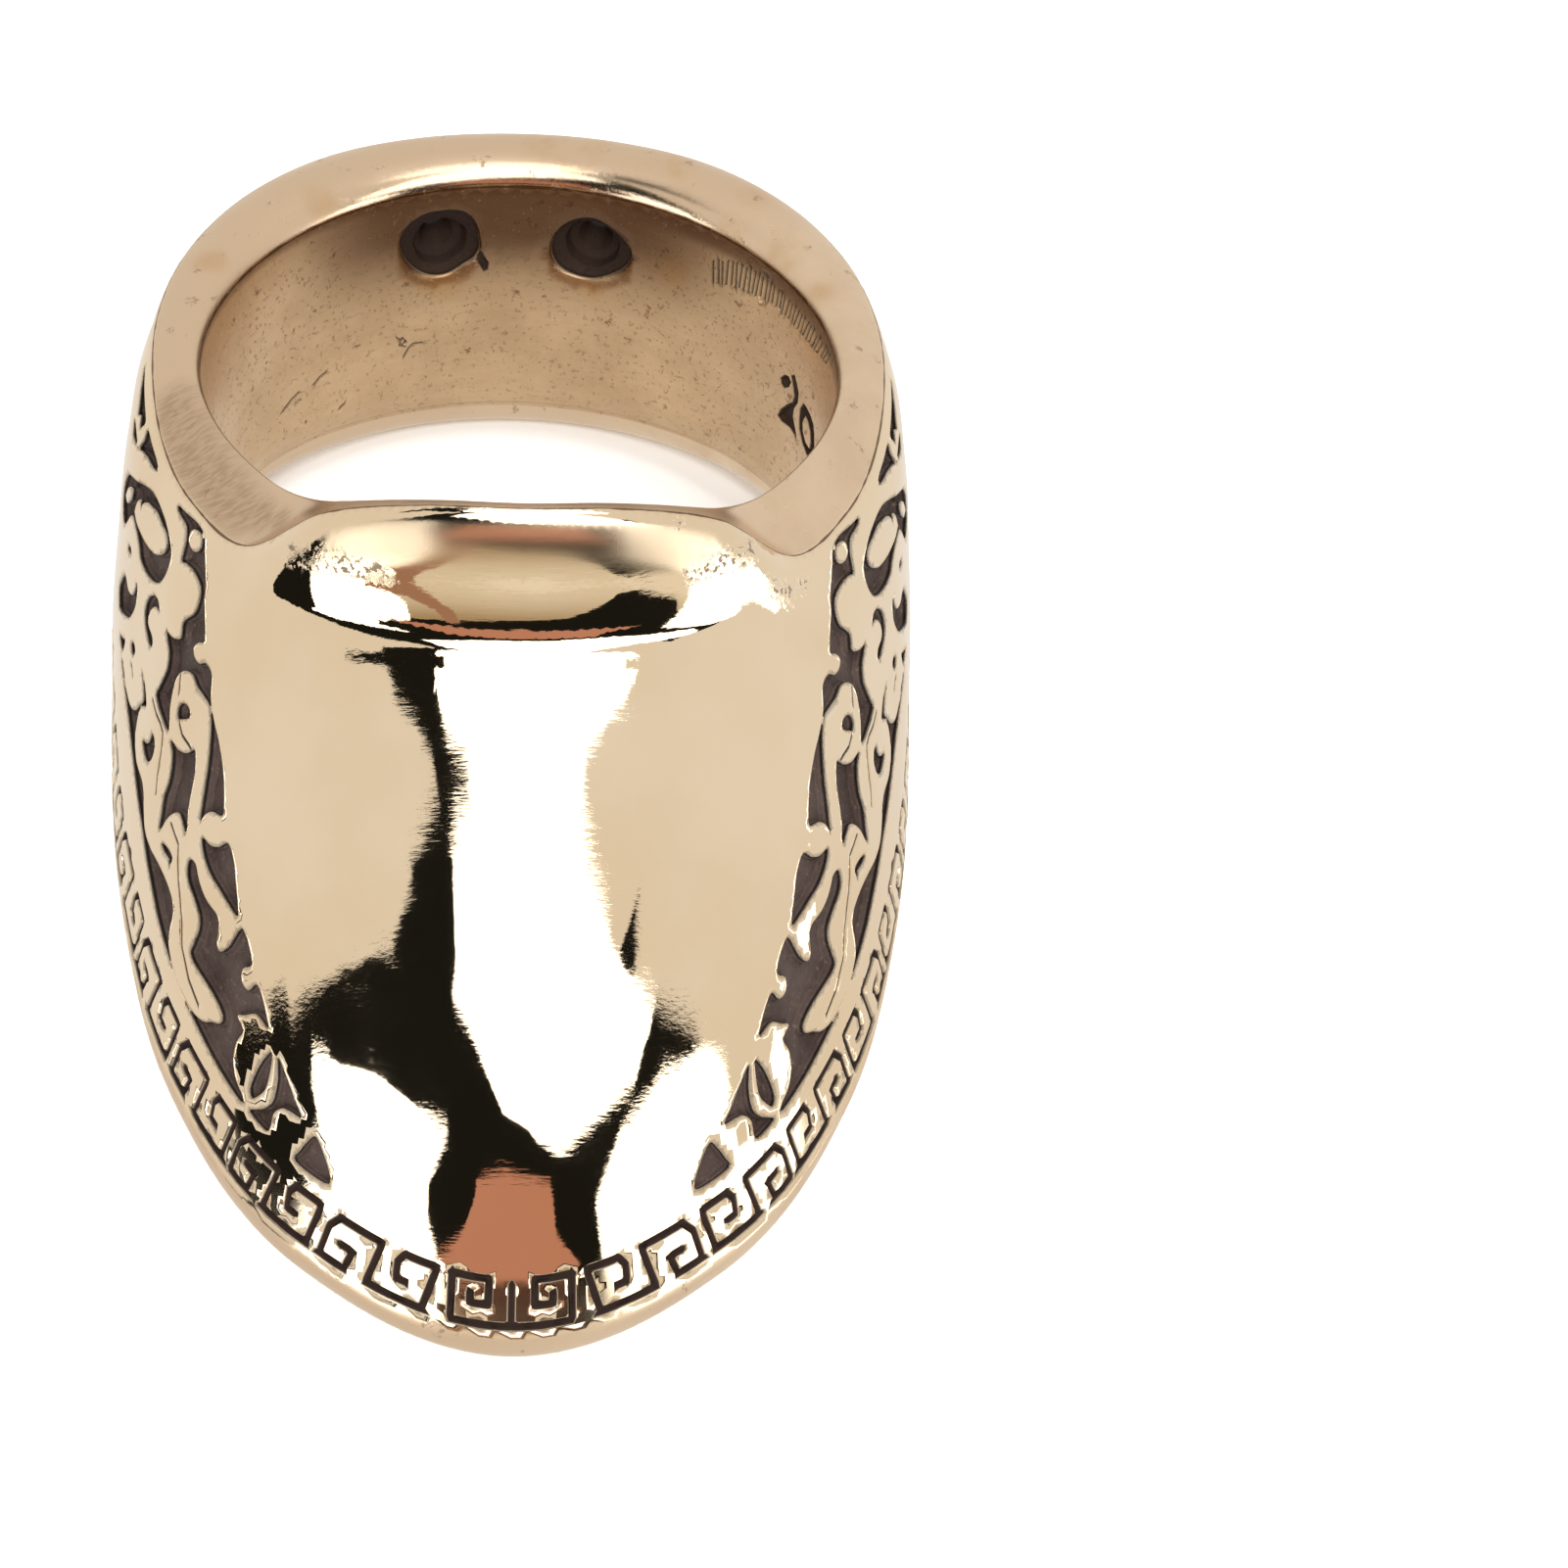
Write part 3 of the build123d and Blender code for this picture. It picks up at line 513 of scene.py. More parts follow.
def keyRun(drawn, start):
    points = np.array(drawn)
    across, up = keys["pitch"] / keyDrawn[0], keys["height"] / keyDrawn[1]
    run = stepped(points, lengthsOf(points) * keys["drawnUnit"], grid["contourStep"])
    along = start + run[:, 0] * across
    turn = np.interp(np.abs(along), edgeWays, edgeTurns)
    length = np.interp(turn, faceTurns, faceLengths)
    return np.stack([turn * np.sign(along), 1 - (keys["aboveEdge"] + run[:, 1] * up) / length], axis=1)


keyCount = int((edgeWays[-1] - keys["start"]) // keys["pitch"])
keyRuns = [keyRun(keySpiral, keys["start"] + k * keys["pitch"]) for k in range(keyCount)]
keyRuns.append(keyRun(keyTip, 0))
incisedRuns = [
    stepped(run, lengthsOf(facePlace(run)), grid["contourStep"])
    for run in (np.array(line, float) for line in incised)
]
print("outlines", len(shapes), "spirals", keyCount, "edge", edgeWays[-1])


def lineSet(runs, placeOf, closed=False):
    # Lines as one set of points, each with its neighbours, to measure from
    before, after, start = [], [], 0
    for run in runs:
        n = len(run)
        k = np.arange(n)
        before.append(start + ((k - 1) % n if closed else np.maximum(k - 1, 0)))
        after.append(start + ((k + 1) % n if closed else np.minimum(k + 1, n - 1)))
        start += n
    spots = np.concatenate(runs)
    place = placeOf(spots)
    return {
        "chart": spots, "place": place, "before": np.concatenate(before), "after": np.concatenate(after),
        "tree": treeOf(place),
    }


def nearest(group, q, normals):
    found = np.array([group["tree"].find(p)[1] for p in q])
    best = np.full(len(q), np.inf)
    offset = np.zeros_like(q)
    left = np.zeros_like(q)
    for a, b in ((group["before"][found], found), (found, group["after"][found])):
        start, run = group["place"][a], group["place"][b] - group["place"][a]
        length = np.maximum((run * run).sum(1), 1e-18)
        t = np.clip(((q - start) * run).sum(1) / length, 0, 1)
        gap = q - (start + run * t[:, None])
        d = np.linalg.norm(gap, axis=1)
        closer = (d < best) & (a != b)
        best = np.where(closer, d, best)
        offset = np.where(closer[:, None], gap, offset)
        left = np.where(closer[:, None], unit(np.cross(normals, unit(run))), left)
    return best, offset, left


def inside(loops, chart):
    odd = np.zeros(len(chart), bool)
    for loop in loops:
        x0, y0 = loop.T
        x1, y1 = np.roll(loop, -1, axis=0).T
        near = np.nonzero(((chart >= loop.min(0)) & (chart <= loop.max(0))).all(1))[0]
        for part in np.array_split(near, max(1, len(near) // grid["atOnce"])):
            x, y = chart[part, 0][:, None], chart[part, 1][:, None]
            crossing = x0 + (y - y0) / np.where(y1 == y0, 1e-12, y1 - y0) * (x1 - x0)
            odd[part] ^= (((y0 > y) != (y1 > y)) & (x < crossing)).sum(1) % 2 == 1
    return odd


groundGroup = lineSet([loop for loops in shapes for loop in loops], facePlace, closed=True)
keyGroup = lineSet(keyRuns, facePlace)
lineGroup = lineSet(incisedRuns, facePlace)


def rise(d, start, end):
    t = np.clip((d - start) / (end - start), 0, 1)
    slope = np.where((d > start) & (d < end), 6 * t * (1 - t) / (end - start), 0)
    return t * t * (3 - 2 * t), slope


def incise(q, normals, group, size, edges, depth, lean, wave=0):
    # A groove along lines, wherever it is deeper than what is there already
    width, deep = size
    d, offset, _ = nearest(group, q, normals)
    share, steep = rise(d - wave * width / 2, width / 2 + edges[0], width / 2 + edges[1])
    cut = deep * (1 - share)
    deeper = cut > depth
    lean = np.where(deeper[:, None], -unit(offset) * (deep * steep)[:, None], lean)
    return np.where(deeper, cut, depth), lean, 1 - share


def sink(q, normals, group, within, deep, edges, leaning=True):
    # Ground that is sunk inside outlines: its depth and lean, and how far inside each point is
    d, offset, left = nearest(group, q, normals)
    signed = np.where(within, d, -d)
    inwards = np.where(within, 1, -1)[:, None] * unit(offset)
    inwards = np.where((d > grid["onLine"])[:, None], inwards, left if leaning else 0)
    share, steep = rise(signed, *edges)
    return deep * share, inwards * (deep * steep)[:, None], signed


def reliefAt(chart):
    q, normals = facePlace(chart), unit(look(normalTable, chart))
    within = np.zeros(len(q), bool)
    for loops in shapes:
        within |= inside(loops, chart)
    depth, lean, _ = sink(q, normals, groundGroup, within, relief["depth"], relief["edges"])
    grooves = np.zeros(len(q))
    wobble = sum(np.sin(q @ direction) for direction in keys["wobble"]) / 3
    sizes = ((keys["width"], keys["depth"]), (keys["lineWidth"], keys["lineDepth"]))
    for group, size in zip((keyGroup, lineGroup), sizes):
        depth, lean, cut = incise(q, normals, group, size, keys["edges"], depth, lean, wobble * keys["waver"])
        grooves = np.maximum(grooves, cut)
    return q, normals, depth, lean, grooves


def rowsBeside(group, offsets):
    # Rows of points along both sides of lines, without those that another line is nearer to
    normals = unit(look(normalTable, group["chart"]))
    run = unit(group["place"][group["after"]] - group["place"][group["before"]])
    left = unit(np.cross(run, normals))
    rows = []
    for off in offsets:
        chart = group["chart"] + chartShift(group["chart"], left * off)
        chart = chart[(chart[:, 0] >= 0) & (chart[:, 0] <= 180)]
        rows.append(chart[np.abs(distances(group, facePlace(chart)) - abs(off)) < grid["rowSlack"]])
    return rows


def distances(group, places):
    return np.array([group["tree"].find(p)[2] for p in places])


def plainGrid(step):
    whole = slice(edgeRows, -edgeRows)
    ways = np.concatenate([[0], np.cumsum(lengthsOf(faceTable[whole, len(faceDowns) // 2]))])
    spots = []
    for k, along in enumerate(np.arange(step, ways[-1], step * grid["rowShare"])):
        turn = np.interp(along, ways, faceTurns[whole])
        count = round(np.interp(turn, faceTurns, faceLengths) / step)
        downs = (np.arange(count) + grid["outerShifts"][k % 2]) / count
        spots.append(np.stack([np.full(count, turn), downs], axis=1))
    return np.concatenate(spots)


def thinned(chart, cell, always):
    places = facePlace(chart)
    kept, seen = [], {}
    cells = [(x - 1, y - 1, z - 1) for x, y, z in np.ndindex(3, 3, 3)]
    for k, (x, y, z) in enumerate(np.floor(places / cell).astype(int).tolist()):
        others = (seen.get((x + dx, y + dy, z + dz)) for dx, dy, dz in cells)
        close = any(m is not None and np.linalg.norm(places[m] - places[k]) < cell for m in others)
        if k < always or not close:
            kept.append(k)
            seen[x, y, z] = k
    return chart[kept]


def outerPoints():
    key, line = keys["width"] / 2, keys["lineWidth"] / 2
    start, end = (key + edge for edge in keys["edges"])
    beside = line + keys["lineBeside"]
    rows = rowsBeside(groundGroup, relief["rows"])
    rows += rowsBeside(keyGroup, (start, -start, end, -end, key, -key))
    rows += rowsBeside(lineGroup, (0, beside, -beside))
    near, far = grid["reliefNear"], grid["reliefFar"]
    for step, least, most in ((grid["reliefStep"], near, far), (grid["plainStep"], far, math.inf)):
        spots = plainGrid(step)
        places = facePlace(spots)
        gaps = np.min([distances(group, places) for group in (groundGroup, keyGroup, lineGroup)], axis=0)
        rows.append(spots[(gaps > least) & (gaps < most)])
    return np.concatenate(rows)


# Outlines of the mouths on the inner wall, in pixels of the photograph, for the left and the right hole
mouths = {
    -1: [
        (409, 243), (417, 230), (427, 222), (438, 217), (450, 215), (463, 214), (475, 216), (483, 222),
        (488, 231), (491, 243), (492, 256), (487, 265), (476, 271), (467, 277), (457, 282), (447, 284),
        (436, 283), (426, 279), (417, 272), (411, 262), (408, 252),
    ],
    1: [
        (560, 255), (562, 246), (568, 236), (576, 229), (586, 224), (597, 222), (608, 223), (619, 229),
        (629, 237), (638, 246), (644, 255), (646, 264), (643, 271), (637, 277), (627, 282), (617, 285),
        (606, 287), (596, 286), (585, 283), (575, 279), (567, 273), (562, 265),
    ],
}
holeTurn = math.degrees(math.asin(cord["spacing"] / 2 / holeRadius))
holeAngles = np.arange(cord["points"]) * 2 * math.pi / cord["points"]


def sectionSpan(turns):
    # Heights of the inner wall's two ends
    p, _ = sectionCorners(turns)
    return p["low"][:, 1], p["top"][:, 1]


creaseAtHole = sectionCorners(np.array([180 - holeTurn]))[0]["crease"][0]
lengthAtHole = np.interp(180 - holeTurn, faceTurns, faceLengths)
perDegree = math.radians(1) * creaseAtHole[0]
holeOuter = np.stack([
    180 - holeTurn - cord["hole"] / 2 * np.cos(holeAngles) / perDegree,
    (creaseAtHole[1] + cord["belowRim"] - cord["hole"] / 2 * np.sin(holeAngles)) / lengthAtHole,
], axis=1)


def triangles(points, loops):
    edges = [(int(a), int(b)) for loop in loops for a, b in zip(loop, np.roll(loop, -1))]
    spots, _, faces, *_ = delaunay_2d_cdt([Vector(p) for p in points], edges, [], 0, grid["samePlace"])
    if len(spots) != len(points):
        raise ValueError(f"{len(points) - len(spots)} points fell together")
    return np.array(faces)


def chartOf(turns, downs):
    return np.stack(np.broadcast_arrays(turns, downs), axis=1).astype(float)


columns = grid["columns"]
turnStep = 360 / columns
halfTurns = np.arange(columns // 2 + 1) * turnStep
frontDowns = np.concatenate([np.arange(0.02, 0.87, 0.02), np.arange(0.875, 0.998, 0.004)])
backDowns = np.arange(0.03, 0.98, 0.03)
fixedPoints = np.concatenate([
    chartOf(halfTurns, 0), chartOf(halfTurns, 1), chartOf(0, frontDowns), chartOf(180, backDowns), holeOuter,
])
freePoints = outerPoints()
lengths = np.interp(freePoints[:, 0], faceTurns, faceLengths)
clear = freePoints[:, 1] * lengths > grid["clearOfCrease"]
clear &= (1 - freePoints[:, 1]) * lengths > grid["clearOfEdge"]
clear &= (freePoints[:, 0] > grid["clearTurns"][0]) & (freePoints[:, 0] < grid["clearTurns"][1])
holeCentre = facePlace(chartOf(180 - holeTurn, [(creaseAtHole[1] + cord["belowRim"]) / lengthAtHole]))
clear &= np.linalg.norm(facePlace(freePoints) - holeCentre, axis=1) > cord["hole"] / 2 + grid["clearOfCrease"]
chart = thinned(np.concatenate([fixedPoints, freePoints[clear]]), grid["closest"], len(fixedPoints))
print("outer points", len(freePoints), "kept", len(chart))

holeStart = len(fixedPoints) - cord["points"]
holePoints = np.arange(holeStart, len(fixedPoints))
outerFaces = triangles(chart * grid["outerScale"], [holePoints])
base, normals, depth, lean, groove = reliefAt(chart)
outerPlaces = base - normals * depth[:, None]
outerNormals = unit(normals + lean)
outerFaces = outerFaces[~inside([holeOuter], chart[outerFaces].mean(1))]
print("outer faces", len(outerFaces), "deepest", depth.max())

# Marks on the inner wall, in pixels of the photograph
innerMarks = {
    "figureDepth": 0.00020,
    "figureEdges": (-0.00003, 0.00009),
    "figureShade": (-0.00003, 0.00003),
    "figureRows": (0, 0.00004, -0.00004, 0.00008, -0.00008),
    "figureStep": 0.00004,
    "chatterCount": 34,
    "chatterWidth": 0.00009,
    "chatterDepth": 0.00006,
    "chatterTone": 0.62,      # how dark
    "topSway": (0.5, (71, 93)),
    "endSway": (0.6, (57, 83)),
    "gougeWidth": 0.00010,
    "gougeDepth": 0.00005,
    "gougeTone": 0.50,
    "edge": 0.00002,
    "step": 0.00006,
}
figures = [
    [
        (797, 386), (801, 383), (805, 385), (807, 390), (805, 395), (801, 396), (798, 392),
    ],
    [
        (808, 384), (811, 383), (813, 391), (815, 401), (814, 411), (810, 417), (809, 425), (813, 447),
        (806, 436), (798, 430), (794, 424), (797, 418), (804, 413), (809, 411), (811, 405), (810, 396),
    ],
    [
        (820, 412), (823, 416), (827, 424), (830, 433), (831, 443), (831, 455), (830, 468), (827, 471),
        (823, 463), (819, 452), (816, 438), (816, 426), (817, 417),
    ],
    [
        (822, 424), (825, 431), (827, 441), (827.5, 452), (826, 459), (822, 452), (819, 440), (819, 430),
    ],
    [
        (487, 254), (492, 257), (495, 263), (499, 268), (498, 275), (494, 277), (490, 271), (487, 266),
    ],
]
gouges = [
    [(430, 350), (422, 351), (417, 356), (412, 365)],
    [(405, 345), (409, 348), (408, 353), (414, 354)],
    [(411, 345), (415, 349), (412, 351)],
    [(332, 381), (327, 385), (322, 391)],
    [(304, 402), (298, 408), (289, 420)],
    [(313, 430), (310, 436), (315, 440)],
    [(352, 412), (347, 417)],
]
chatterTops = [(728, 266), (748, 268), (769, 275), (792, 293), (811, 312), (829, 335), (843, 353), (850, 366)]
chatterEnds = [(728, 288), (747, 291), (767, 299), (789, 309), (807, 327), (826, 350), (838, 365), (847, 373)]


def innerPlace(chart):
    low, top = sectionSpan(chart[:, 0])
    line = np.stack([np.full(len(chart), holeRadius), low + chart[:, 1] * (top - low)], axis=-1)
    return inSpace(chart[:, 0], line[:, None])[:, 0]


def innerChart(turns, heights):
    low, top = sectionSpan(turns)
    return np.stack([turns, (heights - low) / (top - low)], axis=1)


def pixelRun(pixels, spacing):
    points = onHoleWall(pixels)
    gaps = lengthsOf(points * [math.radians(1) * holeRadius, 1])
    return innerChart(*stepped(points, gaps, spacing).T)


def strokePixels(line, sway, rates):
    # One place for each chatter mark, along a line that sways a little
    waves = np.outer(strokes, rates)
    return alongLine(line, strokes) + sway * np.stack([np.sin(waves[:, 0]), np.cos(waves[:, 1])], axis=1)


def closedRun(pixels, rounded=4):
    # A closed outline through charted pixels, rounded between them
    points = np.array(pixels, float)
    around = [np.roll(points, -m, axis=0)[:, None] for m in (-1, 0, 1, 2)]
    spots = cubic(*around, (np.arange(rounded) / rounded)[None, :, None])
    return innerChart(*onHoleWall(spots.reshape(-1, 2)).T)


strokes = np.linspace(0, 1, innerMarks["chatterCount"])
chatter = list(zip(
    strokePixels(chatterTops, *innerMarks["topSway"]), strokePixels(chatterEnds, *innerMarks["endSway"]),
))
markGroups = [
    (
        lineSet([pixelRun(line, innerMarks["step"]) for line in lines], innerPlace),
        (innerMarks[name + "Width"], innerMarks[name + "Depth"]), innerMarks[name + "Tone"],
    ) for name, lines in (("chatter", chatter), ("gouge", gouges))
]
figureLoops = [closedRun(outline) for outline in figures]
figureGroup = lineSet([pixelRun(line + line[:1], innerMarks["figureStep"]) for line in figures], innerPlace)


def inwardNormals(chart):
    turns = np.radians(chart[:, 0])
    return np.stack([-np.sin(turns), np.cos(turns), np.zeros(len(turns))], axis=1)


def innerLoops():
    # The mouths of the cord holes: side, radius at each angle, and outline
    loops = []
    for side in (1, -1):
        turn = 180 - side * holeTurn
        spots = onHoleWall(mouths[side])
        across = (spots[:, 0] - turn) * -side * math.radians(1) * holeRadius
        above = spots[:, 1] + cord["belowRim"]
        angles = np.arctan2(above, across) % (2 * math.pi)
        order = np.argsort(angles)
        reach = np.interp(holeAngles, angles[order], np.hypot(across, above)[order], period=2 * math.pi)
        reach = (np.roll(reach, 1) + 2 * reach + np.roll(reach, -1)) / 4
        turns = turn - side * np.degrees(reach * np.cos(holeAngles) / holeRadius)
        loops.append((side, reach, innerChart(turns, -cord["belowRim"] + reach * np.sin(holeAngles))))
    return loops


def besideRun(group, offsets):
    rows = []
    place = group["place"]
    run = unit(place[group["after"]] - place[group["before"]])
    left = np.cross(run, inwardNormals(group["chart"]))
    for off in offsets:
        q = place + left * off
        near = np.abs(distances(group, q) - abs(off)) < innerMarks["edge"]
        rows.append(innerChart(turnsOf(q), q[:, 2])[near])
    return rows


def innerRows():
    rows = besideRun(figureGroup, innerMarks["figureRows"])
    for group, (width, _), _ in markGroups:
        edge = width / 2 + innerMarks["edge"]
        rows += besideRun(group, (0, edge, -edge))
    return np.concatenate(rows)


def plainRows():
    rows = []
    stepTurn = math.degrees(grid["innerStep"] / holeRadius)
    for k, turn in enumerate(np.arange(stepTurn, 360 - stepTurn / 2, stepTurn * grid["rowShare"])):
        low, top = (v[0] for v in sectionSpan(np.array([turn])))
        count = max(2, round((top - low) / grid["innerStep"]))
        rows.append(chartOf(turn, (np.arange(count) + grid["innerShifts"][k % 2]) / count))
    return np.concatenate(rows)


seats = innerLoops()
seatOutlines = [loop for _, _, loop in seats]
wholeTurns = np.arange(columns + 1) * turnStep
seamDowns = np.arange(0.1, 0.95, 0.1)
innerFixed = np.concatenate([
    chartOf(wholeTurns, 0), chartOf(wholeTurns, 1), chartOf(0, seamDowns), chartOf(360, seamDowns),
    *seatOutlines,
])
innerFree = np.concatenate([innerRows(), plainRows()])
low, top = sectionSpan(innerFree[:, 0])
keep = innerFree[:, 1] * (top - low) > grid["clearOfEnds"]
keep &= (1 - innerFree[:, 1]) * (top - low) > grid["clearOfEnds"]
keep &= ~inside(seatOutlines, innerFree)
places = innerPlace(innerFree)
for side in (1, -1):
    centre = innerPlace(innerChart(np.array([180 - side * holeTurn]), np.array([-cord["belowRim"]])))
    keep &= np.linalg.norm(places - centre, axis=1) > cord["seat"] / 2 * cord["clear"]
innerSpots = np.concatenate([innerFixed, innerFree[keep]])
places = innerPlace(innerSpots)
tree = treeOf(places)
alone = np.ones(len(innerSpots), bool)
for k in range(len(innerFixed), len(innerSpots)):
    alone[k] = not any(j < k and alone[j] for _, j, _ in tree.find_range(places[k], grid["innerClosest"]))
innerSpots = innerSpots[alone]
seatLoops = [len(innerFixed) - n * cord["points"] + np.arange(cord["points"]) for n in (2, 1)]
innerFaces = triangles(innerSpots * grid["innerScale"], seatLoops)
innerFaces = innerFaces[~inside(seatOutlines, innerSpots[innerFaces].mean(1))]

innerBase, innerNormals = innerPlace(innerSpots), inwardNormals(innerSpots)
innerDepth, innerGroove = np.zeros((2, len(innerSpots)))
innerLean = np.zeros_like(innerBase)
edges = (-innerMarks["edge"], innerMarks["edge"])
for group, size, tone in markGroups:
    innerDepth, innerLean, cut = incise(innerBase, innerNormals, group, size, edges, innerDepth, innerLean)
    innerGroove = np.maximum(innerGroove, tone * cut)
cut, lean, signed = sink(
    innerBase, innerNormals, figureGroup, inside(figureLoops, innerSpots),
    innerMarks["figureDepth"], innerMarks["figureEdges"], leaning=False,
)
deeper = cut > innerDepth
innerDepth = np.where(deeper, cut, innerDepth)
innerLean = np.where(deeper[:, None], lean, innerLean)
innerGroove = np.maximum(innerGroove, rise(signed, *innerMarks["figureShade"])[0])
innerPlaces = innerBase - innerNormals * innerDepth[:, None]
innerNormals = unit(innerNormals + innerLean)
print("inner points", len(innerSpots), "faces", len(innerFaces))

# The rest of the ring is rows of points, one for each column
everyTurn = np.arange(columns) * turnStep
edgeShares = [0.1, 0.2, 0.3, 0.4, 0.5, 0.6, 0.7, 0.8, 0.9, 1.0]


def rowsOf(stretch, shares):
    p, slope = sectionCorners(everyTurn)
    shares = np.array(shares)
    if stretch == "rim":
        line = bend(p["top"], p["crease"], slope["wall"], slope["creaseIn"], shares, ring["rimFullness"])
    elif stretch == "edge":
        middle = (p["edge"] + p["edgeIn"]) / 2
        angles = slope["edge"][:, None] + 90 - 180 * shares[None]
        line = middle[:, None] + way(angles) * ring["edgeThickness"] / 2
    elif stretch == "inside":
        line = bend(p["edgeIn"], p["root"], slope["edge"] + 180, slope["root"], shares)
    else:
        line = bend(p["root"], p["low"], slope["root"], np.full(columns, 90.0), shares)
    return inSpace(everyTurn, line).transpose(1, 0, 2)


vertices = []


def addPoints(points):
    first = sum(len(part) for part in vertices)
    vertices.append(points)
    return first + np.arange(len(points))


flip = np.array([-1, 1, 1])
onMiddle = (chart[:, 0] == 0) | (chart[:, 0] == 180)
mirrorOf = addPoints(outerPlaces)
mirrorOf[~onMiddle] = addPoints(outerPlaces[~onMiddle] * flip)
faces = [tuple(f) for f in outerFaces] + [tuple(mirrorOf[f][::-1]) for f in outerFaces]
frontBase = np.concatenate([base, base[~onMiddle] * flip])
frontNormals = np.concatenate([normals, normals[~onMiddle] * flip])
frontFaces = np.array(faces)


def aroundRing(first):
    right = first + np.arange(columns // 2 + 1)
    return np.concatenate([right, mirrorOf[right[1:-1]][::-1]])


creaseLoop = aroundRing(0)
edgeLoop = aroundRing(columns // 2 + 1)
holeLoops = {1: holePoints, -1: mirrorOf[holePoints]}
innerIndex = addPoints(innerPlaces)
innerPart = slice(innerIndex[0], innerIndex[-1] + 1)
firsts = {round(down, 6): innerIndex[k] for k, (turn, down) in enumerate(innerSpots) if turn == 0}
for k in np.nonzero(innerSpots[:, 0] == 360)[0]:
    innerIndex[k] = firsts[round(innerSpots[k, 1], 6)]
faces += [tuple(innerIndex[f]) for f in innerFaces]
lowLoop = innerIndex[:columns]
topLoop = innerIndex[columns + 1:2 * columns + 1]


def addRows(rows, start, end):
    # Rows of points between two loops, each joined to the one before it
    loops = [addPoints(row) for row in rows]
    for a, b in zip([start, *loops], [*loops, end]):
        faces.extend(zip(a, np.roll(a, -1), np.roll(b, -1), b))
    return loops


underRows = addRows(np.concatenate([
    rowsOf("edge", edgeShares), rowsOf("inside", np.arange(1, 23) / 22), rowsOf("root", np.arange(1, 8) / 8),
]), edgeLoop, lowLoop)
rimRows = addRows(rowsOf("rim", np.arange(1, 20) / 20), topLoop, creaseLoop)
holeRows = []
for (side, reach, _), seatLoop in zip(seats, seatLoops):
    turn = math.radians(180 - side * holeTurn)
    out = np.array([math.sin(turn), -math.cos(turn), 0])
    across = -side * np.array([math.cos(turn), math.sin(turn), 0])
    centre = out * holeRadius - np.array([0, 0, cord["belowRim"]])
    circle = across * np.cos(holeAngles)[:, None] + np.array([0, 0, 1]) * np.sin(holeAngles)[:, None]
    step, hole = cord["step"] / 2, cord["hole"] / 2
    seatDepth, stepDepth = cord["seatDepth"], cord["stepDepth"]
    ragged = 1 + 0.03 * np.sin(3 * holeAngles + side) + 0.02 * np.sin(7 * holeAngles - side)
    profile = [
        (reach - 0.00004, 0.00004), (reach - 0.00008, 0.00010),
        (reach * 0.7 + 0.00036, 0.00028), (reach * 0.4 + 0.00070, seatDepth),
        (step * 1.06 * ragged, seatDepth + 0.00003), (step * ragged, seatDepth + 0.00010),
        (step * 0.97, stepDepth - 0.00008), (step * 0.90, stepDepth),
        (hole * 1.08 * ragged, stepDepth + 0.00002), (hole, stepDepth + 0.00009),
        *((hole * cord["throat"], deep) for deep in cord["throatDepths"]), (hole * 0.97, cord["throatEnd"]),
    ]
    lift = np.array([0, 0, hole * cord["throatLift"]])
    holeRows.append(addRows([
        centre + out * deep + circle * np.reshape(radius, (-1, 1)) + lift * (deep in cord["throatDepths"])
        for radius, deep in profile
    ], innerIndex[seatLoop], holeLoops[side]))
vertices = np.concatenate(vertices)
polygons = [tuple(int(k) for k in face) for face in faces]
print("vertices", len(vertices), "faces", len(faces))

# The ring set down on the floor, as it rests: on the front edge and the back of the lower edge
restTurns = np.array([ring["frontRest"], 180.0])
corners, _ = sectionCorners(restTurns)
undersides = inSpace(restTurns, ((corners["edge"] + corners["edgeIn"]) / 2)[:, None])[:, 0]
restTilt = math.atan2(undersides[1, 2] - undersides[0, 2], undersides[1, 1] - undersides[0, 1])
tilt = np.array(Matrix.Rotation(-restTilt, 3, "X"))
bore = next(m for m in frame["record"]["mounts"] if m["name"] == "cord_hole_right")
boreTurn = math.radians(180 - holeTurn)
wallMiddle = (holeRadius + cord["stepDepth"] + creaseAtHole[0]) / 2
boreMiddle = np.array([wallMiddle * math.sin(boreTurn), -wallMiddle * math.cos(boreTurn), -cord["belowRim"]])
rimMiddle = np.array(bore["pos_m"]) - tilt @ boreMiddle
rimMiddle[0] = 0
print("tilt", math.degrees(restTilt), "rim middle", rimMiddle)


def seated(points):
    return points @ tilt.T + rimMiddle


def buildRing():
    mesh = bpy.data.meshes.new("thumbRing")
    mesh.from_pydata(seated(vertices).tolist(), [], polygons)
    mesh.validate()
    mesh.update()
    piece = bpy.data.objects.new("thumbRing", mesh)
    bpy.context.scene.collection.objects.link(piece)
    bpy.ops.object.select_all(action="DESELECT")
    piece.select_set(True)
    bpy.context.view_layer.objects.active = piece
    bpy.ops.object.mode_set(mode="EDIT")
    bpy.ops.mesh.select_all(action="SELECT")
    bpy.ops.mesh.normals_make_consistent(inside=False)
    bpy.ops.mesh.select_all(action="DESELECT")
    bpy.ops.object.mode_set(mode="OBJECT")
    return piece


